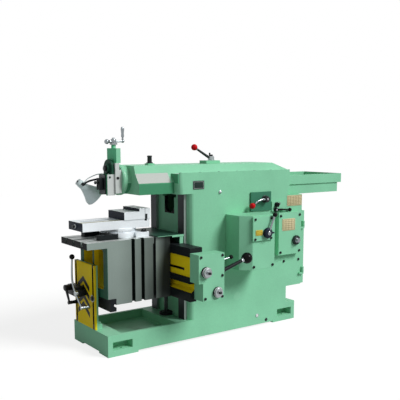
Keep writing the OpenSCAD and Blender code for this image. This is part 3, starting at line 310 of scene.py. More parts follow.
def finishes():
    """Builds each material once and returns them by name."""
    if FINISHES:
        return FINISHES
    c = settings()[0]
    any3 = (None, None, None)
    # alkyd enamel sprayed over filled cast iron: soft sheen, slight orange peel
    green = Coat(tuple(c.green), 0.0, 0.42)
    mid = Coat(tuple(c.mid_green), 0.0, 0.42)
    deep = Coat(tuple(c.deep_green), 0.0, 0.42)
    yellow = Coat(tuple(c.yellow), 0.0, 0.45)
    black = Coat(tuple(c.black), 0.0, 0.40)
    # slate on the vise's -X ends: painted shade
    slate_shade = Coat(tuple(c.slate_shade), 0.0, 0.45)
    # near black for the hollow inside of the column: painted shade
    painted_shade_inside = Coat(lin("#101413"), 0.0, 0.6)
    # ground steel and planed iron: fine parallel lines left by wheel and tool, dulled by a film of oil
    steel = Coat(tuple(c.steel), 0.35, 0.38)
    bare = Coat(tuple(c.turned), 1.0, 0.32)
    vise = Coat(lin("#EDF3F7"), 0.3, 0.36)
    dark_steel = Coat(lin("#2A2F31"), 0.6, 0.35)
    iron = Coat(tuple(c.iron), 0.3, 0.45)
    FINISHES.update({
        "green": surface("machine_green_enamel", green),
        "black": surface("black_enamel", black),
        "bare": surface("turned_bare_steel", bare, grain="all"),
        "dark_steel": surface("oiled_dark_steel", dark_steel, grain="z"),
        "iron": surface("planed_cast_iron", iron, grain="z"),
        # plating over polished steel: mirror with faint polishing haze
        "chrome": surface("bright_plated_steel", Coat(tuple(c.chrome), 1.0, 0.14), grain="all"),
        # black oxide on turned steel screws: dark and slightly waxy
        "oxide": surface("black_oxide_steel", Coat(lin("#1A1D1F"), 0.5, 0.38), grain="all"),
        # machined hub stoved in blue-black enamel: deep, half gloss
        "hub": surface("blue_black_hub_enamel", Coat(lin("#232B38"), 0.1, 0.32)),
        # cast bronze turned to size: warm and faintly ringed
        "bronze": surface("turned_bronze", Coat(tuple(c.bronze), 1.0, 0.35), grain="all"),
        # phenolic balls pressed in polished moulds: deep gloss
        "red": surface("moulded_red_phenolic", Coat(tuple(c.red), 0.0, 0.18)),
        "black_knob": surface("moulded_black_phenolic", Coat(lin("#0E0F10"), 0.0, 0.15)),
        # stoved enamel on spun sheet: smooth, half gloss
        "lamp": surface("stoved_lamp_enamel", Coat(tuple(c.lamp), 0.0, 0.35)),
        "lamp_white": surface("stoved_white_enamel", Coat(lin("#E9EDEA"), 0.0, 0.40)),
        # opal glass of the bulb: milky and glossy
        "opal": surface("opal_glass", Coat(lin("#F2F0E6"), 0.0, 0.15)),
        # turned brass of the lamp cap: warm, with faint rings
        "brass": surface("turned_brass", Coat(lin("#C9A55A"), 1.0, 0.30), grain="all"),
        # anodised aluminium label stock: satin, faint roll lines
        "tan": surface("anodised_label_tan", Coat(tuple(c.tan), 0.0, 0.40)),
        "label_line": surface("label_print_brown", Coat(lin("#6E5636"), 0.0, 0.5)),
        "label_yellow": surface("anodised_label_yellow", Coat(lin("#D9C24A"), 0.0, 0.40)),
        "label_dark": surface("anodised_label_dark", Coat(lin("#2C3A36"), 0.2, 0.40)),
        "label_pale": surface("anodised_label_pale", Coat(lin("#C4CCC8"), 0.3, 0.40)),
        # belt of cord and cloth wrapped in rubber: dull, no sheen
        "rubber": surface("wrapped_belt_rubber", Coat(lin("#17181A"), 0.0, 0.75)),
        # enamel brushed over a ribbed casting: dull sheen
        "motor": surface("grey_green_motor_enamel", Coat(lin("#5D6F68"), 0.0, 0.45)),
        # moulded clear acrylic over a white reflector: pale and glossy
        "glass": surface("pale_sight_glass", Coat(lin("#EEF2F0"), 0.0, 0.12)),
        # pieces of several finishes: enamel where they were painted, planed or ground iron where they slide,
        # and painted shade where they lie in shade
        "column": surface("column_enamel_and_ways", green, [
            # the fronts of the ways near black: painted shade and painted reflection on ground steel; their
            # near sides in a light planed grey
            (dark_steel, [((-237, None, 166), (-211, None, 1189))]),
            (iron, [((-235, None, 166), (-211, None, 1189), -Y)]),
            # near black inside the column's arch and hollow: painted shade
            (painted_shade_inside, [((-308, -72, 1016), (-120, 72, 1194)), ((-200, -260, 200), (838, 260, 1150))]),
        ]),
        "ram": surface("ram_enamel_and_dovetail", green, [
            # darker green on the near side under the dovetail: painted shade
            (Coat(lin("#4C9770"), 0.0, 0.42), [(any3, (-312, None, 1283), -Y)]),
            (Coat(lin("#A6ABA6"), 0.2, 0.45), [((-629, None, 1283), (-338, None, 1356.5))]),
        ]),
        "strips": surface("guide_strip_steel", steel, [(mid, [(any3, (-300, None, None))])]),
        "covers": surface("ram_cover_enamel", green, [(black, [((None, None, 1442.5), any3)])]),
        "guard": surface("chip_guard_enamel", Coat(lin("#26483B"), 0.0, 0.40), [
            (green, [(any3, (None, -247, None), -Y)])]),
        # apron: black beyond x -384 and on faces that look along -X and +Y, darker towards +X and downwards:
        # painted shade on planed iron
        "apron": surface("apron_oiled_iron_painted_shade", iron, [
            (black, [((-384, None, None), any3), (any3, any3, -X), (any3, any3, Y)]),
        ], grain="z", extra=painted_side_shade(-500, -395, 1.0)),
        "pins": surface("turned_pin_steel", bare, [
            (green, [(any3, (None, -290, None)), ((None, 290, None), any3)]),
        ], grain="all"),
        "rail": surface("rail_enamel", black, [
            (yellow, [((-343, None, 570.5), (-300, None, 727.5), -X),
                      ((-351, None, 450.5), (-300, None, 519.5), (-0.8, 0, 0.6))]),
        ]),
        "table": surface("table_planed_iron", iron, [
            (steel, [((None, None, 814), (None, None, 866), Z)]),
            # dark in the T-slots and the gap of the table: painted shade
            (Coat(lin("#23302D"), 0.3, 0.45), [
                ((None, None, 828), (None, None, 864.5), Z),
                ((-720, -224, 300), (-570, 224, 864.4)),
                ((-509, -226, 300), (-480, 226, 816))]),
            # near black on the end of the top slab and under its overhang: painted shade
            (Coat(lin("#0B0F10"), 0.0, 0.55), [
                ((None, None, 810), (-1070, None, 866)),
                ((None, None, 810), (-905, None, 820), -Z)]),
            # dark green enamel of the table's front frame, darkened further as painted shade
            (Coat(lin("#2A5C49"), 0.0, 0.42), [((-911, None, 300), (-905, None, 815))]),
            (yellow, [((-909, -165.5, 410), (-549, 165.5, 796))]),
        # the near side darker towards +X and downwards: painted shade
        ], grain="z", extra=painted_side_shade(-820, -480, 0.62)),
        "support": surface("support_plate_enamel", green, [
            (yellow, [((-952, None, None), (-936, None, None)), ((-952, -80, 200), (-920, 250, 655))]),
            # black on the walls of the two long slots: painted shade
            (black, [((-951, 219.4, None), (-921, 244.6, None)), ((-951, -74.6, None), (-921, -49.4, None))]),
        ], extra=chevrons),
        "swivel": surface("swivel_ground_and_enamel", steel, [
            (green, [((-698, None, None), (-660, None, None))]),
        ], grain="z"),
        "slide": surface("tool_slide_ground_and_enamel", steel, [
            (green, [((None, None, 1437.5), any3)]),
            # brighter green on the front of the upper slide, which lies in shade: painted light
            (Coat(lin("#6CDDA5"), 0.0, 0.42), [((None, None, 1437.5), any3, -X)])], grain="z"),
        "clapper_box": surface("clapper_box_enamel", mid, [
            # dark green on the round top of the clapper box: painted shade
            (Coat(lin("#24503D"), 0.0, 0.42), [((None, None, 1353), any3)]),
            (steel, [((-815, None, None), (-750, -69, 1352), -Y)])]),
        "panels": surface("panel_enamel", deep, [(green, [((645, None, None), any3)])]),
        "access": surface("access_cover_enamel", green, [
            (Coat(lin("#2B3B36"), 0.0, 0.4), [((855, None, 685), (950, -343, 781))])]),
        "feed_box": surface("feed_box_enamel", green, [
            # black on the sides of the shaft bosses: painted shade
            (black, [(any3, (None, -613.5, None))]),
            (steel, [((-331, None, 582), (-245, -613.5, 668), -Y),
                     ((-217, None, 417), (-137, -613.5, 503), -Y)])]),
        "vise_bed": surface("vise_bed_ground_iron", vise, [
            # dark strip on the near side by the fixed jaw: painted reflection
            (dark_steel, [((-521, None, 985), (-500, -121, 1040), -Y)]),
            # slate on faces that look along -X: painted shade
            (slate_shade, [(any3, (-1050, None, None), -X),
                     ((-530, None, 1001), (-510, None, 1082), -X)]),
            (Coat(lin("#A3A58D"), 0.3, 0.4), [((None, -108, 999), (-700, -58, 1001), Z)])]),
        # slate on the jaw's faces that look along -X: painted shade
        "vise_jaw": surface("vise_jaw_ground_iron", vise, [(slate_shade, [((None, None, 1000), any3, -X)])]),
        "vise_base": surface("vise_base_iron", vise, [(black, [(any3, (-762, None, 904))])], grain="all"),
    })
    return FINISHES


# Meshes, in millimetres of the shared frame


def smooth(points, steps=6):
    """A smooth path through the given points."""
    points = [Vector(p) for p in points]
    ends = [points[0] * 2 - points[1], *points, points[-1] * 2 - points[-2]]
    path = []
    for a, b, c, d in zip(ends, ends[1:], ends[2:], ends[3:]):
        for i in range(steps):
            t = i / steps
            path.append(0.5 * (2 * b + (c - a) * t + (2 * a - 5 * b + 4 * c - d) * t ** 2
                               + (3 * b - a - 3 * c + d) * t ** 3))
    return path + [points[-1]]


class Piece:
    """One piece under construction: closed shells of turned, drawn and cut shapes, each with its finish."""

    def __init__(self):
        self.points, self.faces, self.marks, self.names = [], [], [], []

    def take(self, finish, points, faces):
        """Adds a shell."""
        if finish not in self.names:
            self.names.append(finish)
        start = len(self.points)
        self.points += [Vector(p) for p in points]
        self.faces += [[start + i for i in f] for f in faces]
        self.marks += [self.names.index(finish)] * len(faces)

    def turned(self, finish, base, axis, profile, sides=40, spin=0.0):
        """Turns a profile of (distance along the axis, radius) pairs; it closes on the axis at both ends."""
        base, axis = Vector(base), Vector(axis).normalized()
        u = axis.orthogonal().normalized()
        v = axis.cross(u)
        points, rings = [], []
        for d, r in [(profile[0][0], 0.0), *profile, (profile[-1][0], 0.0)]:
            count = sides if r > 1e-6 else 1
            rings.append(range(len(points), len(points) + count))
            for i in range(count):
                a = math.tau * i / sides + spin
                points.append(base + axis * d + (u * math.cos(a) + v * math.sin(a)) * r)
        faces = []
        for low, high in zip(rings, rings[1:]):
            for i in range(sides):
                k = (i + 1) % sides
                quad = (low[i % len(low)], low[k % len(low)], high[k % len(high)], high[i % len(high)])
                face = list(dict.fromkeys(quad))
                if len(face) > 2:
                    faces.append(face)
        self.take(finish, points, faces)

    def drawn(self, finish, path, radii, sides=20):
        """Draws a round bar along a path, from the first radius to the last."""
        path = [Vector(p) for p in path]
        first, last = radii
        points, u = [], None
        for i, p in enumerate(path):
            ahead = (path[min(i + 1, len(path) - 1)] - path[max(i - 1, 0)]).normalized()
            u = ahead.orthogonal().normalized() if u is None else (u - ahead * u.dot(ahead)).normalized()
            v = ahead.cross(u)
            r = first + (last - first) * i / (len(path) - 1)
            points += [p + (u * math.cos(a) + v * math.sin(a)) * r
                       for a in (math.tau * k / sides for k in range(sides))]
        faces = []
        for start in range(0, (len(path) - 1) * sides, sides):
            for k in range(sides):
                n = (k + 1) % sides
                faces.append((start + k, start + n, start + sides + n, start + sides + k))
        faces += [range(sides), range((len(path) - 1) * sides, len(path) * sides)]
        self.take(finish, points, faces)

    def cut(self, finish, outline, base, u, v, depth, edge=1.0):
        """Cuts a plate from an outline in u and v, with its edges broken by edge."""
        base, u, v = Vector(base), Vector(u), Vector(v)
        bm = bmesh.new()
        face = bm.faces.new([bm.verts.new(base + u * a + v * b) for a, b in outline])
        made = bmesh.ops.extrude_face_region(bm, geom=[face])
        moved = [e for e in made["geom"] if isinstance(e, bmesh.types.BMVert)]
        bmesh.ops.translate(bm, verts=moved, vec=u.cross(v).normalized() * depth)
        bmesh.ops.recalc_face_normals(bm, faces=bm.faces)
        sharp = [e for e in bm.edges if e.calc_face_angle(0) > SHARP_ABOVE]
        bmesh.ops.bevel(bm, geom=sharp, offset=edge, segments=2, profile=0.5, affect="EDGES",
                        clamp_overlap=True)
        bm.verts.index_update()
        self.take(finish, [p.co.copy() for p in bm.verts], [[p.index for p in f.verts] for f in bm.faces])
        bm.free()

    def block(self, finish, low, high, edge=1.5):
        """A block between two corners."""
        dx, dy, dz = (b - a for a, b in zip(low, high))
        self.cut(finish, [(0, 0), (dx, 0), (dx, dy), (0, dy)], low, X, Y, dz, edge)

    def bar(self, finish, centre, u, v, size):
        """A thin straight bar, such as a graduation, of half sizes along u, v and their cross."""
        u, v, c = Vector(u).normalized() * size[0], Vector(v).normalized() * size[1], Vector(centre)
        w = u.cross(v).normalized() * size[2]
        points = [c + u * a + v * b + w * d for a in (-1, 1) for b in (-1, 1) for d in (-1, 1)]
        faces = [(0, 1, 3, 2), (4, 6, 7, 5), (0, 4, 5, 1), (2, 3, 7, 6), (0, 2, 6, 4), (1, 5, 7, 3)]
        self.take(finish, points, faces)

    def thread(self, finish, base, axis, length, outer, depth, pitch, sides=28):
        """A trapezoid thread ridge wound on a core of radius outer less depth."""
        base, axis = Vector(base), Vector(axis).normalized()
        u = axis.orthogonal().normalized()
        v = axis.cross(u)
        self.turned(finish, base, axis, [(0, outer - depth), (length, outer - depth)], sides)
        section = [(0.0, outer - depth - 0.4), (0.16, outer), (0.5, outer), (0.66, outer - depth - 0.4)]
        steps = int((length / pitch - 1) * sides)
        points = []
        for i in range(steps + 1):
            a = math.tau * i / sides
            way = u * math.cos(a) + v * math.sin(a)
            points += [base + axis * (pitch * (i / sides + part)) + way * r for part, r in section]
        faces = [(i * 4 + k, i * 4 + (k + 1) % 4, i * 4 + 4 + (k + 1) % 4, i * 4 + 4 + k)
                 for i in range(steps) for k in range(4)]
        faces += [range(4), range(steps * 4, steps * 4 + 4)]
        self.take(finish, points, faces)

    def done(self, name, body, slot, *replaced):
        """Makes the object, smooths its round faces, and rides it on its body."""
        mesh = bpy.data.meshes.new(name)
        mesh.from_pydata([p * MM for p in self.points], [], self.faces)
        for finish in self.names:
            mesh.materials.append(finishes()[finish])
        mesh.polygons.foreach_set("material_index", self.marks)
        bm = bmesh.new()
        bm.from_mesh(mesh)
        bmesh.ops.recalc_face_normals(bm, faces=bm.faces)
        bm.to_mesh(mesh)
        bm.free()
        mesh.shade_smooth()
        mesh.set_sharp_from_angle(angle=SMOOTH_BELOW)
        obj = bpy.data.objects.new(name, mesh)
        bpy.context.scene.collection.objects.link(obj)
        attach(obj, body)
        if replaced:
            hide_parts(*replaced)


def ball(radius, steps=16):
    """The profile of a ball centred at 0."""
    return [(-radius * math.cos(math.pi * i / steps), radius * math.sin(math.pi * i / steps))
            for i in range(1, steps)]


def cap_screw(piece, base, axis, radius, height):
    """A socket head screw whose head stands on base."""
    profile = [(-1, radius), (height * 0.82, radius), (height, radius * 0.86), (height, radius * 0.55),
               (height * 0.35, radius * 0.5)]
    piece.turned("oxide", base, axis, profile, 24)


def hex_nut(piece, base, axis, radius, height, finish="oxide"):
    """A hexagon head or nut on its washer."""
    piece.turned(finish, base, axis, [(0, radius * 1.25), (height * 0.16, radius * 1.25)], 28)
    profile = [(height * 0.14, radius), (height * 0.88, radius), (height, radius * 0.86)]
    piece.turned(finish, base, axis, profile, 6)


def dial(piece, base, depth):
    """A dished collar of a shaft end, that stands out along -Y."""
    profile = [(0, 34), (2, 36), (depth - 3.6, 36), (depth, 32), (depth, 20), (depth - 1.6, 19)]
    piece.turned("bare", base, -Y, profile, 48)


def grip(length, radius):
    """The profile of a turned hand grip."""
    shape = [(0.0, 0.55), (0.03, 0.78), (0.14, 0.88), (0.34, 0.76), (0.52, 0.86), (0.74, 1.0), (0.9, 0.9),
             (0.98, 0.55)]
    return [(length * d, radius * r) for d, r in shape]


def ticks(piece, finish, centre, axis, start, radius, degrees, length, along):
    """Graduations round an axis, at angles from the direction start, longer at every third."""
    centre, axis, start = Vector(centre), Vector(axis).normalized(), Vector(start).normalized()
    for i, deg in enumerate(degrees):
        a = math.radians(deg)
        out = start * math.cos(a) + axis.cross(start) * math.sin(a)
        half = length / 2 if i % 3 else length * 0.8
        piece.bar(finish, centre + out * radius + axis * along, axis, axis.cross(out), (half, 0.7, 0.5))


def dress(finish, *nodes, edge=None):
    """Gives CAD nodes their finish and, if edge is given, a rounded edge of that radius in metres."""
    for name in nodes:
        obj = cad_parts[name]
        obj.data.materials.clear()
        obj.data.materials.append(finishes()[finish])
        if edge:
            obj.modifiers.new("weld", "WELD").merge_threshold = 0.00002
            flat = obj.modifiers.new("flat", "DECIMATE")
            flat.decimate_type = "DISSOLVE"
            flat.angle_limit = math.radians(0.3)
            bevel = obj.modifiers.new("edge", "BEVEL")
            bevel.width = edge
            bevel.segments = 2
            bevel.limit_method = "ANGLE"
            bevel.angle_limit = math.radians(38)
            bevel.harden_normals = True


# Pieces and finishes, one operator for each


class SHAPER_OT_castings(bpy.types.Operator):
    """Finishes the base, the column, the covers and the guards"""
    bl_idname = "shaper.castings"
    bl_label = "Castings"

    def execute(self, context):
        sizes = settings()[1]
        dress("green", "base", "gear_case", "shift_plate", "rear_door", edge=sizes.casting_edge)
        dress("column", "column", edge=sizes.ground_edge)
        dress("access", "access_cover", edge=sizes.casting_edge)
        dress("panels", "control_panels", edge=sizes.ground_edge)
        dress("green", "ram_guard", edge=sizes.ground_edge)
        dress("strips", "guide_strips", edge=sizes.ground_edge)
        return {"FINISHED"}


class SHAPER_OT_screws(bpy.types.Operator):
    """Makes the socket head screws of the strips, plates and covers"""
    bl_idname = "shaper.screws"
    bl_label = "Cover screws"

    def execute(self, context):
        piece = Piece()
        for x, y in product(range(-270, 690, 190), (-255, 255)):
            cap_screw(piece, (x, y, STRIP_TOP), Z, 12, 8)
        rows = [(PLATE, 10, (255, 425), (818, 980)), (CASE, 11, (256, 458), (590,)),
                (COVER, 11, (722, 948), (636, 958)), (SIDE, 11, (810, 990), (543,))]
        for y, radius, across, up in rows:
            for x, z in product(across, up):
                cap_screw(piece, (x, y, z), -Y, radius, 8)
        piece.done("cover_screws", "frame", "ground_steel", "cover_bolts")
        return {"FINISHED"}


def label(piece, low, high, y, face, line, rows, columns):
    """A bare plate on a face that looks along -Y, with a border, ruled cells and four rivets."""
    (x0, z0), (x1, z1) = low, high
    inset, proud = 8, y - 3.1
    piece.cut(face, [(0, 0), (x1 - x0, 0), (x1 - x0, z1 - z0), (0, z1 - z0)], (x0, y, z0), X, Z, 3, 0.8)
    wide, tall = (x1 - x0) / 2 - inset, (z1 - z0) / 2 - inset
    mid = ((x0 + x1) / 2, proud, (z0 + z1) / 2)
    for i in range(rows + 1):
        piece.bar(line, (mid[0], proud, z0 + inset + 2 * tall * i / rows), X, Z, (wide, 0.9, 0.4))
    for i in range(columns + 1):
        piece.bar(line, (x0 + inset + 2 * wide * i / columns, proud, mid[2]), X, Z, (0.9, tall, 0.4))
    for x, z in product((x0 + 4, x1 - 4), (z0 + 4, z1 - 4)):
        piece.turned("bare", (x, y - 3, z), -Y, [(-0.5, 2.4), (0.7, 2.3), (1.3, 1.3)], 12)


class SHAPER_OT_labels(bpy.types.Operator):
    """Makes the bare label plates"""
    bl_idname = "shaper.labels"
    bl_label = "Labels"

    def execute(self, context):
        piece = Piece()
        label(piece, (837, 1034), (1018, 1128), SIDE, "tan", "label_line", 6, 5)
        label(piece, (738, 825), (892, 930), COVER, "tan", "label_line", 5, 4)
        label(piece, (258, 847), (332, 892), PLATE, "label_yellow", "label_line", 2, 1)
        label(piece, (-177, 1224), (-69, 1292), SIDE, "label_dark", "label_pale", 1, 1)
        piece.done("bare_labels", "frame", "label", "label_plates")
        return {"FINISHED"}


class SHAPER_OT_fittings(bpy.types.Operator):
    """Makes the sight glass, the drain plug, the oil cup and the two knobs of the side"""
    bl_idname = "shaper.fittings"
    bl_label = "Oil fittings and knobs"

    def execute(self, context):
        oil = Piece()
        glass = (505, SIDE, 94)
        oil.turned("bare", glass, -Y, [(-1, 17), (2.5, 17), (4, 15.5), (4, 11.5), (2, 11)])
        oil.turned("glass", glass, -Y, [(-0.5, 11), (2.6, 11), (3.6, 8), (4, 3)])
        hex_nut(oil, (611, SIDE, 40), -Y, 12, 6, "dark_steel")
        oil.turned("bare", (92, SIDE, 1193), -Y, [(-1, 13), (5, 13), (7, 9), (13, 9), (15, 7), (16, 3)])
        oil.done("oil_points", "frame", "sight_glass", "oil_fittings")
        knob = Piece()
        base = (702, -304.5, 1056)
        knob.turned("black_knob", base, -Y, [(-1, 23), (4, 23), (6, 20), (22, 18.5), (24, 16)])
        wing = [(-27, -5), (-20, -8), (0, -9), (20, -8), (27, -5), (29, 0), (27, 5), (20, 8), (0, 9),
                (-20, 8), (-27, 5), (-29, 0)]
        knob.cut("black_knob", wing, (702, -310, 1056), (0.86, 0, 0.5), (-0.5, 0, 0.86), 22, 2.5)
        knob.bar("lamp_white", (720, -332.1, 1066.5), (0.86, 0, 0.5), (-0.5, 0, 0.86), (7, 1.2, 0.4))
        knob.done("selector_knob", "frame", "black_knob")
        pull = Piece()
        boss = (902, -360.5, 733)
        pull.turned("dark_steel", boss, -Y, [(-1, 30), (1.5, 30), (2.5, 28.5), (2.5, 24), (0.5, 23)])
        mushroom = [(-1, 21), (3, 21), (6, 14), (12, 12), (17, 18), (24, 20), (29, 17), (31, 8)]
        pull.turned("chrome", boss, -Y, mushroom)
        pull.done("cover_pull", "frame", "bright_chrome")
        return {"FINISHED"}


class SHAPER_OT_clutch(bpy.types.Operator):
    """Makes the clutch handle with its red ball"""
    bl_idname = "shaper.clutch"
    bl_label = "Clutch handle"

    def execute(self, context):
        piece = Piece()
        hub = (562, -306.9, 1113)
        piece.turned("oxide", hub, -Y, [(0, 32), (6, 32), (8, 29), (34, 28), (41, 24), (43, 14)])
        piece.turned("bare", hub, -Y, [(40, 9), (45, 9), (46, 7)], 6)
        y, way = -338.5, (-0.86, 0, -0.5)
        arm = [(545, 1113), (508, 1113), (468, 1103), (432, 1083), (408, 1069)]
        piece.drawn("chrome", smooth([(x, y, z) for x, z in arm]), (9, 7.5))
        piece.turned("oxide", (424, y, 1078.5), way, [(-6, 10), (8, 11)], 24)
        piece.turned("red", (400, y, 1065), way, ball(25))
        piece.done("clutch_handle", "clutch", "bright_chrome", "clutch_lever", "clutch_knob")
        return {"FINISHED"}


class SHAPER_OT_brake(bpy.types.Operator):
    """Makes the brake handle"""
    bl_idname = "shaper.brake"
    bl_label = "Brake handle"

    def execute(self, context):
        piece = Piece()
        hub, y = (691, -304.9, 1012), -316.5
        piece.turned("black", hub, -Y, [(0, 20), (5, 20), (7, 17), (18, 17), (19.6, 12)])
        piece.turned("bare", hub, -Y, [(19, 7), (21, 7), (22, 4)], 20)
        arm = [(700, 1012), (745, 1012), (800, 1008), (838, 1005.7)]
        piece.drawn("black_knob", smooth([(x, y, z) for x, z in arm]), (10, 6))
        piece.turned("black_knob", (851, y, 1005), X, ball(17))
        piece.done("brake_handle", "brake", "black_knob", "brake_lever")
        return {"FINISHED"}


class SHAPER_OT_shifter(bpy.types.Operator):
    """Makes the speed shift handle"""
    bl_idname = "shaper.shifter"
    bl_label = "Shift handle"

    def execute(self, context):
        piece = Piece()
        hub = (378, -547.9, 863)
        way = Vector((0.421, 0, 0.907))
        piece.turned("hub", hub, -Y, [(0, 40), (3, 42), (22, 42), (28, 38), (31, 31), (31, 20)], 56)
        piece.turned("chrome", hub, -Y, [(29, 17), (34, 17), (37, 13), (38, 6)])
        piece.cut("hub", [(0, -9), (22, -5), (24, 0), (22, 5), (0, 9)], (416, -560, 863), X, Z, 14, 2)
        piece.drawn("chrome", [Vector((388, -571, 885)) + way * d for d in (0, 40, 80, 118)], (9, 7))
        piece.turned("chrome", (432, -571, 981), way, [(-8, 9.5), (8, 10.5)], 24)
        piece.turned("black_knob", (445, -571, 1009.5), way, ball(20))
        piece.done("shift_handle", "shifter", "bright_chrome", "shift_lever", "shift_knob")
        return {"FINISHED"}


class SHAPER_OT_ram(bpy.types.Operator):
    """Finishes the ram and makes its position post"""
    bl_idname = "shaper.ram"
    bl_label = "Ram"

    def execute(self, context):
        sizes = settings()[1]
        dress("ram", "ram", edge=sizes.ground_edge)
        dress("covers", "ram_covers", edge=sizes.ground_edge)
        dress("iron", "ram_block")
        piece = Piece()
        piece.turned("dark_steel", (-570, 0, 1330), X, [(0, 14), (6, 18), (740, 18), (758, 14)])
        foot = (-396, 0, 1330)
        post = [(0, 13), (97.4, 13), (97.4, 27), (104, 27), (106, 19), (146, 18), (152, 20), (157, 20),
                (159, 17)]
        piece.turned("oxide", foot, Z, post)
        piece.turned("bare", foot, Z, [(157, 9), (159.6, 9), (160, 8)], 4)
        piece.done("position_post", "ram_unit", "black_enamel", "position_drive")
        return {"FINISHED"}


class SHAPER_OT_ram_clamp(bpy.types.Operator):
    """Makes the ram clamp handle with its red ball"""
    bl_idname = "shaper.ram_clamp"
    bl_label = "Ram clamp handle"

    def execute(self, context):
        piece = Piece()
        way = Vector((-0.868, 0, 0.497))
        piece.turned("bare", (218, 0, 1441.4), Z, [(0, 30), (4, 30), (6, 27), (30, 27), (35, 22)])
        hex_nut(piece, (218, 0, 1475.5), Z, 17, 15)
        piece.drawn("dark_steel", [Vector((204, 0, 1460.4)) + way * d for d in (0, 60, 120, 178)], (12, 8.5))
        piece.turned("chrome", (64, 0, 1540.5), way, [(-8, 10.5), (6, 12)], 24)
        piece.turned("red", (43, 0, 1552.5), way, ball(27))
        piece.done("ram_clamp_handle", "ram_clamp", "bright_chrome", "clamp_lever", "clamp_knob")
        return {"FINISHED"}


class SHAPER_OT_tool_head(bpy.types.Operator):
    """Finishes the tool head and makes its degree ring and screws"""
    bl_idname = "shaper.tool_head"
    bl_label = "Tool head"

    def execute(self, context):
        sizes = settings()[1]
        dress("swivel", "swivel_plate", edge=sizes.ground_edge)
        dress("slide", "tool_slide", edge=sizes.ground_edge)
        ring = Piece()
        ring.turned("green", (-690, 0, HEAD_Z), X, [(0, 117), (1.5, 119.5), (22, 119.5), (23.5, 117)], 96)
        for start in (-Y, Y):
            ticks(ring, "label_pale", (0, 0, HEAD_Z), X, start, 119.5, range(-60, 61, 5), 8, -680)
        ring.done("head_ring", "head", "ground_steel")
        gib = Piece()
        cap_screw(gib, (-732, -85, 1323), -Y, 11, 4)
        gib.done("slide_screws", "slide_unit", "ground_steel")
        return {"FINISHED"}


class SHAPER_OT_feed_crank(bpy.types.Operator):
    """Makes the down-feed screw, its dial and its crank"""
    bl_idname = "shaper.feed_crank"
    bl_label = "Down-feed crank"

    def execute(self, context):
        piece = Piece()
        top = (SCREW_X, 0, SLIDE_TOP)
        piece.thread("bare", (SCREW_X, 0, 1266), Z, 282, 15.5, 2.8, settings()[1].down_pitch / MM)
        piece.turned("bare", (SCREW_X, 0, 1540), Z, [(0, 12.7), (83, 12.7)])
        piece.turned("bare", top, Z, [(0.4, 27), (1.5, 29), (13, 29), (15, 26)], 48)
        ticks(piece, "oxide", top, Z, -Y, 29, range(0, 360, 12), 5, 7)
        piece.turned("chrome", top, Z, [(14, 21), (20, 23), (36, 23), (44, 19), (47, 12)])
        hex_nut(piece, (SCREW_X, 0, 1620), Z, 11, 10, "bare")
        arm = smooth([(-776, 0, 1599), (-750, 0, 1599.5), (-700, 0, 1601), (-638, 0, 1603)])
        piece.drawn("chrome", arm, (9.5, 8.5))
        piece.turned("chrome", (-776, 0, 1599), X, ball(19))
        piece.turned("oxide", (-757, 0, 1599.5), (1, 0, 0.03), [(-3, 12), (3, 12)], 24)
        piece.turned("chrome", (-638, 0, 1603), Z, ball(14))
        piece.turned("chrome", (-638, 0, 1607), Z, [(0, 8), (28, 7)], 24)
        piece.turned("chrome", (-638, 0, 1632), Z, grip(82, 14))
        piece.done("down_feed_crank", "down_feed", "bright_chrome", "feed_crank")
        return {"FINISHED"}


class SHAPER_OT_clapper(bpy.types.Operator):
    """Finishes the clapper and makes its pivot nut and the tool post"""
    bl_idname = "shaper.clapper"
    bl_label = "Clapper and tool post"

    def execute(self, context):
        sizes = settings()[1]
        dress("clapper_box", "clapper_box", edge=sizes.ground_edge)
        dress("dark_steel", "clapper", edge=sizes.ground_edge)
        pivot = Piece()
        hex_nut(pivot, (-791.4, 0, 1395), -X, 22, 14)
        pivot.done("clapper_nut", "clapper_unit", "black_enamel")
        post = Piece()
        for low, high in (((-857, -27, 1234), (-823, -11, 1324)), ((-857, 11, 1234), (-823, 27, 1324)),
                          ((-856, -12, 1236), (-849, 12, 1322)), ((-829, -12, 1236), (-823.6, 12, 1322))):
            post.block("black", low, high, 2)
        post.turned("oxide", (-849, 0, 1290), -X, [(-3, 9), (27, 9)], 24)
        post.turned("oxide", (-875, 0, 1290), -X, [(0, 13), (10, 13), (12, 11)], 4, math.pi / 4)
        post.done("tool_holder", "flap", "black_enamel", "tool_post")
        return {"FINISHED"}


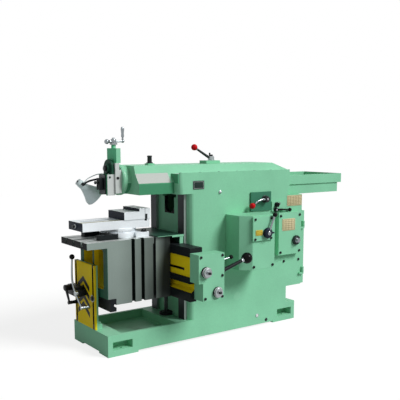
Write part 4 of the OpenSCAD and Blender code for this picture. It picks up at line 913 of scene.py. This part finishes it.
class SHAPER_OT_lamp(bpy.types.Operator):
    """Makes the work lamp, its arm and its conduit"""
    bl_idname = "shaper.lamp"
    bl_label = "Work lamp"

    def execute(self, context):
        shade = Piece()
        outer = [(-30, 24), (-28, 27), (-6, 27), (-6, 29), (32, 30), (60, 40), (100, 58), (139, 80),
                 (158, 82), (161, 83)]
        inner = [(161, 80), (139, 77.5), (100, 55), (60, 37), (34, 27)]
        liner = [(35, 26), (60, 36.5), (100, 54.5), (139, 77), (160, 79.5)]
        back = [(d + 1, r - 1) for d, r in reversed(liner)]
        bulb = [(56, 12), (62, 15), (70, 25), (82, 30), (95, 27), (105, 18), (110, 8)]
        for finish, profile, sides in (("lamp", outer + inner, 64), ("lamp_white", liner + back, 64),
                                       ("brass", [(33, 15), (58, 15), (60, 13)], 28), ("opal", bulb, 40),
                                       ("oxide", [(-36, 7), (-29, 8)], 20)):
            shade.turned(finish, LAMP_NECK, LAMP_AXIS, profile, sides)
        shade.done("lamp_reflector", "lamp", "lamp_enamel", "lamp_shade")
        arm = Piece()
        arm.block("black", (-716, 85, 1290), (-700, 99, 1330), 3)
        for z in (1298, 1322):
            cap_screw(arm, (-713, 99, z), Y, 3, 4)
        arm.drawn("black", smooth([(-708, 96, 1310), (-708, 124, 1310), (-717, 141, 1310), (-765, 143, 1309),
                                   (-850, 143, 1297), (-912, 143, 1273)], 8), (8, 7.5))
        arm.turned("black", (-912, 132, 1272), Y, [(0, 10), (2, 12), (21, 12), (23, 9)], 28)
        arm.turned("bare", (-912, 153, 1272), Y, [(0, 8), (18, 8)], 20)
        wing = [(-16, -4), (0, -5), (16, -4), (20, 0), (16, 4), (0, 5), (-16, 4), (-20, 0)]
        arm.cut("oxide", wing, (-912, 132, 1272), (0.8, 0, 0.6), (-0.6, 0, 0.8), 7, 1.5)
        arm.drawn("lamp", smooth([(-708, 92, 1328), (-722, 116, 1346), (-790, 138, 1345), (-868, 143, 1316),
                                  (-910, 143, 1279)], 8), (3.6, 3.6), 12)
        arm.done("lamp_bracket", "head", "black_enamel", "lamp_arm")
        return {"FINISHED"}


class SHAPER_OT_rail(bpy.types.Operator):
    """Finishes the cross rail, its guard and the feed box, and makes their screws and shafts"""
    bl_idname = "shaper.rail"
    bl_label = "Cross rail and feed box"

    def execute(self, context):
        sizes = settings()[1]
        dress("rail", "cross_rail", edge=sizes.ground_edge)
        dress("feed_box", "feed_box", edge=sizes.casting_edge)
        dress("guard", "chip_guard", edge=SHEET_EDGE)
        heads = Piece()
        for x, z in ((-330, 742), (-128, 742), (-128, 585), (-128, 420), (-290, 420)):
            cap_screw(heads, (x, FEED_BOX, z), -Y, 10.5, 8)
        heads.done("feed_box_screws", "rail_unit", "ground_steel")
        feed = Piece()
        x, z = FEED_AXIS
        feed.turned("bare", (x, -660.5, z), Y, [(0, 12), (1, 13), (252, 13)])
        feed.thread("bare", (x, -408.5, z), Y, 817, 13, 2, sizes.cross_pitch / MM)
        feed.turned("bare", (x, 408, z), Y, [(0, 13), (75, 13)])
        dial(feed, (x, -634.9, z), 17.6)
        ticks(feed, "oxide", (x, -634.9, z), -Y, Z, 36, range(0, 360, 10), 5, 7)
        feed.block("oxide", (x - 9, -678.5, z - 9), (x + 9, -650, z + 9))
        feed.done("cross_screw_end", "cross_screw", "bright_chrome", "cross_feed_screw")
        lift = Piece()
        x, z = LOW_AXIS
        lift.turned("bare", (x, -644.5, z), Y, [(0, 12), (1, 13), (137, 13)])
        dial(lift, (x, -630.9, z), 12.6)
        lift.block("oxide", (x - 9, -662.5, z - 9), (x + 9, -636, z + 9))
        lift.done("lift_shaft_end", "lift_shaft", "bright_chrome", "elevating_shaft")
        return {"FINISHED"}


class SHAPER_OT_feed_levers(bpy.types.Operator):
    """Makes the feed lever and the reverse lever"""
    bl_idname = "shaper.feed_levers"
    bl_label = "Feed levers"

    def execute(self, context):
        feed = Piece()
        way = Vector((0.956, 0, 0.293))
        start = Vector((-88, LEVERS, 604))
        feed.turned("oxide", (-88, -540.4, 604), -Y, [(0, 18), (2, 20), (30, 20), (34, 17), (35, 12)])
        feed.turned("bare", (-88, -575, 604), -Y, [(-1, 9), (3, 9), (4, 7)], 6)
        feed.drawn("black", [start + way * d for d in (6, 80, 150, 215)], (16, 13.5))
        feed.turned("bare", start + way * 210, way, [(-9, 14), (-7, 16), (6, 16), (9, 18)], 28)
        feed.turned("black_knob", (162, LEVERS, 679), way, ball(45, 24), 56)
        feed.done("feed_handle", "feed_pawl", "black_knob", "feed_lever")
        back = Piece()
        way = Vector((0.988, 0, 0.155))
        start = Vector((-93, LEVERS, 690))
        back.turned("oxide", (-93, -544.4, 690), -Y, [(0, 13), (2, 15), (22, 15), (25.6, 11)])
        back.drawn("chrome", [start + way * d for d in (4, 40, 84)], (7, 6))
        back.turned("black_knob", (-1, LEVERS, 705), way, ball(17))
        back.done("reverse_handle", "reverser", "bright_chrome", "reverse_lever")
        return {"FINISHED"}


class SHAPER_OT_lift_screw(bpy.types.Operator):
    """Makes the elevating screw and finishes its nut"""
    bl_idname = "shaper.lift_screw"
    bl_label = "Elevating screw"

    def execute(self, context):
        dress("bronze", "lift_nut", edge=FINE_EDGE)
        piece = Piece()
        piece.turned("black", (LIFT_X, 0, 165), Z, [(0, 56), (18, 56), (22, 52), (24.5, 30)], 48)
        for x, y in product((-38, 38), (-18, 18)):
            cap_screw(piece, (LIFT_X + x, y, 188), Z, 6, 5)
        piece.thread("dark_steel", (LIFT_X, 0, 188), Z, 452, 17, 3, settings()[1].lift_pitch / MM)
        piece.done("lift_screw", "frame", "ground_steel", "elevating_screw")
        return {"FINISHED"}


class SHAPER_OT_table(bpy.types.Operator):
    """Finishes the apron, the table and its support beam"""
    bl_idname = "shaper.table"
    bl_label = "Table"

    def execute(self, context):
        sizes = settings()[1]
        dress("apron", "apron", edge=sizes.ground_edge)
        dress("black", "support_beam", edge=sizes.ground_edge)
        dress("table", "table", edge=sizes.ground_edge)
        return {"FINISHED"}


class SHAPER_OT_support(bpy.types.Operator):
    """Finishes the support plate and makes the beam clamps in front of it"""
    bl_idname = "shaper.support"
    bl_label = "Table support"

    def execute(self, context):
        dress("support", "support_plate", edge=settings()[1].ground_edge)
        block = Piece()
        block.block("black", (-1020, 86, 398), (-953, 252, 478), 5)
        block.block("black", (-1020, 44, 414), (-953, 89, 458), 5)
        for y, z, r in ((190, 462, 30), (66, 436, 20)):
            block.turned("black", (-1019, y, z), -X, [(-2, r), (0.6, r - 1)], 32)
        for y, z in ((232, 410), (-62, 410)):
            block.turned("dark_steel", (-954, y, z), X, [(0, 10), (102, 10)], 24)
        block.turned("bare", (-953, -62, 410), -X, [(0, 27), (4, 27)], 32)
        hex_nut(block, (-956.5, -62, 410), -X, 18, 12)
        block.done("beam_block", "table_unit", "black_enamel", "clamp_block")
        crank = Piece()
        hub = [(0, 14), (38.2, 14), (38.2, 22), (42, 24), (88, 24), (92, 20), (94, 12)]
        crank.turned("oxide", (-982, 190, 462), -X, hub, 36)
        crank.drawn("oxide", [(-1060, 184, 452), (-1060, 159, 408), (-1060, 134, 364)], (11, 8))
        crank.turned("oxide", (-1072, 129, 355), X, [(0, 12), (2, 14), (18, 14), (20, 10)], 28)
        crank.turned("black_knob", (-1054, 129, 355), X, grip(68, 16))
        crank.done("beam_crank_handle", "beam_crank", "bright_chrome", "clamp_crank")
        arm = Piece()
        hub = [(0, 14), (38.5, 14), (38.5, 20), (40, 22), (60, 22), (63, 17)]
        arm.turned("bare", (-982, 66, 436), -X, hub, 36)
        x = -1034
        upper = [(70, 440), (104, 484), (126, 536), (126, 620), (118, 704)]
        arm.drawn("chrome", smooth([(x, y, z) for y, z in upper]), (9, 7))
        arm.turned("black_knob", (x, 118, 716), Z, ball(21))
        arm.drawn("chrome", [(x, 62, 430), (x, 16, 389), (x, -30, 350)], (9, 7.5))
        arm.turned("bare", (-1042, -36, 344), X, [(0, 11), (2, 13), (15, 13), (17, 9)], 28)
        arm.turned("chrome", (-1027, -36, 344), X, grip(63, 15))
        arm.done("beam_arm_handle", "beam_arm", "bright_chrome", "clamp_arm")
        return {"FINISHED"}


class SHAPER_OT_vise(bpy.types.Operator):
    """Finishes the vise and makes its nuts, scale and screw"""
    bl_idname = "shaper.vise"
    bl_label = "Vise"

    def execute(self, context):
        sizes = settings()[1]
        for node in ("vise_base", "vise_bed", "vise_jaw"):
            dress(node, node, edge=sizes.ground_edge)
        nuts = Piece()
        for x, y in product((-855, -538), (-135, 135)):
            hex_nut(nuts, (x, y, 903), Z, 20, 21)
            nuts.turned("oxide", (x, y, 923), Z, [(0, 10), (5, 10), (6, 8)], 20)
        nuts.done("vise_nuts", "table_unit", "black_enamel")
        scale = Piece()
        ticks(scale, "oxide", (VISE_X, 0, 905.4), Z, -Y, 138, range(-75, 76, 5), 8, 10)
        scale.done("vise_scale", "vise", "black_enamel")
        screw = Piece()
        screw.turned("bare", (-1060, 0, VISE_SCREW_Z), X, [(0, 13), (2, 15), (52, 15)])
        screw.thread("bare", (-1008, 0, VISE_SCREW_Z), X, 472, 15, 2, sizes.vise_pitch / MM)
        screw.turned("bare", (-536, 0, VISE_SCREW_Z), X, [(0, 14), (24, 14), (26, 12)])
        screw.block("oxide", (-1078, -9, VISE_SCREW_Z - 9), (-1050, 9, VISE_SCREW_Z + 9))
        screw.done("jaw_screw_end", "jaw_screw", "ground_steel", "vise_screw")
        return {"FINISHED"}


class SHAPER_OT_drive(bpy.types.Operator):
    """Finishes the drive inside and makes the motor's finned shell"""
    bl_idname = "shaper.drive"
    bl_label = "Drive"

    def execute(self, context):
        dress("dark_steel", "bull_gear", "drive_shaft", "motor_pulley")
        dress("pins", "fixed_pins")
        dress("bare", "crank_pin")
        dress("iron", "rocker_arm", edge=FINE_EDGE)
        dress("bronze", "slide_block", edge=FINE_EDGE)
        dress("rubber", "v_belts")
        motor = Piece()
        body = [(0, 60), (4, 83), (22, 83), (22, 95), (30, 95)]
        for i in range(26):
            d = 32 + i * 10
            body += [(d, 89), (d + 3, 89), (d + 4, 95), (d + 9, 95)]
        motor.turned("motor", (925, -212, 460), Y, body + [(304, 95), (304, 83), (318, 83), (322, 60)], 48)
        motor.block("motor", (845, -150, 330), (1005, 50, 385), 4)
        motor.block("motor", (885, -110, 540), (965, 10, 595), 5)
        for x, y in product((862, 988), (-130, 30)):
            hex_nut(motor, (x, y, 384), Z, 9, 8)
        motor.done("motor_shell", "frame", "motor_enamel", "motor")
        return {"FINISHED"}


class SHAPER_OT_studio(bpy.types.Operator):
    """Sets the floor, the light and the camera"""
    bl_idname = "shaper.studio"
    bl_label = "Studio"

    def execute(self, context):
        studio = settings()[2]
        scene = context.scene
        scene.view_settings.view_transform = "Standard"
        mesh = bpy.data.meshes.new("floor")
        s = studio.floor
        mesh.from_pydata([(-s, -s, 0), (s, -s, 0), (s, s, 0), (-s, s, 0)], [], [(0, 1, 2, 3)])
        floor = bpy.data.objects.new("floor", mesh)
        scene.collection.objects.link(floor)
        # painted studio board: matt, white to the eye, and grey as a source of bounced light
        mat = bpy.data.materials.new("matt_studio_board")
        mat.use_nodes = True
        tree = mat.node_tree
        tree.nodes.clear()
        seen = self.seen(tree)
        share = put(tree, "ShaderNodeMath", {0: seen, 1: BOARD_GLOW_SHARE}, operation="MULTIPLY")
        tone = put(tree, "ShaderNodeMix", {0: seen, 1: lin("#B4B6B5"), 2: lin("#F6F7F6")},
                   data_type="RGBA")
        matt = put(tree, "ShaderNodeBsdfDiffuse", {"Color": tone})
        glow = put(tree, "ShaderNodeEmission", {"Color": (1, 1, 1, 1), "Strength": BOARD_GLOW})
        mix = put(tree, "ShaderNodeMixShader", {0: share, 1: matt, 2: glow})
        put(tree, "ShaderNodeOutputMaterial", {"Surface": mix})
        mesh.materials.append(mat)

        world = bpy.data.worlds.new("white_surround")
        scene.world = world
        world.use_nodes = True
        tree = world.node_tree
        tree.nodes.clear()
        power = put(tree, "ShaderNodeMapRange", {"Value": self.seen(tree), "To Min": studio.fill,
                                                 "To Max": 1.0})
        back = put(tree, "ShaderNodeBackground", {"Color": (1, 1, 1, 1), "Strength": power})
        put(tree, "ShaderNodeOutputWorld", {"Surface": back})

        lamp = bpy.data.lights.new("key", "SUN")
        lamp.energy = studio.key
        lamp.angle = math.radians(KEY_WIDTH)
        key = bpy.data.objects.new("key", lamp)
        key.rotation_mode = "QUATERNION"
        key.rotation_quaternion = KEY_AIM.to_track_quat("-Z", "Y")
        scene.collection.objects.link(key)

        view = bpy.data.cameras.new("camera")
        view.sensor_width = SENSOR_MM
        view.lens = FOCAL_PX / FRAME_PX * SENSOR_MM
        view.shift_x = SHIFT_PX[0] / FRAME_PX
        view.shift_y = SHIFT_PX[1] / FRAME_PX
        view.clip_end = 200.0
        cam = bpy.data.objects.new("camera", view)
        cam.location = CAMERA_AT
        yaw, pitch = math.radians(CAMERA_YAW), math.radians(CAMERA_PITCH)
        look = Vector((math.sin(yaw) * math.cos(pitch), math.cos(yaw) * math.cos(pitch), -math.sin(pitch)))
        cam.rotation_mode = "QUATERNION"
        cam.rotation_quaternion = look.to_track_quat("-Z", "Y")
        scene.collection.objects.link(cam)
        scene.camera = cam
        return {"FINISHED"}

    def seen(self, tree):
        """1 for rays that show the studio itself: from the camera, in reflections and through glass."""
        rays = put(tree, "ShaderNodeLightPath").outputs
        seen = rays["Is Camera Ray"]
        for ray in ("Is Glossy Ray", "Is Transmission Ray"):
            seen = put(tree, "ShaderNodeMath", {0: seen, 1: rays[ray]}, operation="MAXIMUM")
        return seen


OPERATORS = (
    SHAPER_OT_studio, SHAPER_OT_castings, SHAPER_OT_screws, SHAPER_OT_labels, SHAPER_OT_fittings,
    SHAPER_OT_clutch, SHAPER_OT_brake, SHAPER_OT_shifter, SHAPER_OT_ram, SHAPER_OT_ram_clamp,
    SHAPER_OT_tool_head, SHAPER_OT_feed_crank, SHAPER_OT_clapper, SHAPER_OT_lamp, SHAPER_OT_rail,
    SHAPER_OT_feed_levers, SHAPER_OT_lift_screw, SHAPER_OT_table, SHAPER_OT_support, SHAPER_OT_vise,
    SHAPER_OT_drive)


class SHAPER_PT_sidebar(bpy.types.Panel):
    """Lists the settings and the steps"""
    bl_idname = "SHAPER_PT_sidebar"
    bl_label = "Shaper"
    bl_space_type = "VIEW_3D"
    bl_region_type = "UI"
    bl_category = "Shaper"

    def draw(self, context):
        for group in settings():
            box = self.layout.box()
            for key in group.bl_rna.properties.keys():
                if key not in ("rna_type", "name"):
                    box.prop(group, key)
        for op in OPERATORS:
            self.layout.operator(op.bl_idname)


CLASSES = (ShaperColours, ShaperSizes, ShaperStudio, *OPERATORS, SHAPER_PT_sidebar)


def register():
    for cls in CLASSES:
        bpy.utils.register_class(cls)
    bpy.types.Scene.shaper_colours = PointerProperty(type=ShaperColours)
    bpy.types.Scene.shaper_sizes = PointerProperty(type=ShaperSizes)
    bpy.types.Scene.shaper_studio = PointerProperty(type=ShaperStudio)


def unregister():
    del bpy.types.Scene.shaper_studio
    del bpy.types.Scene.shaper_sizes
    del bpy.types.Scene.shaper_colours
    for cls in reversed(CLASSES):
        bpy.utils.unregister_class(cls)


def main():
    register()
    for op in OPERATORS:
        group, name = op.bl_idname.split(".")
        getattr(getattr(bpy.ops, group), name)()


if __name__ == "__main__":
    main()
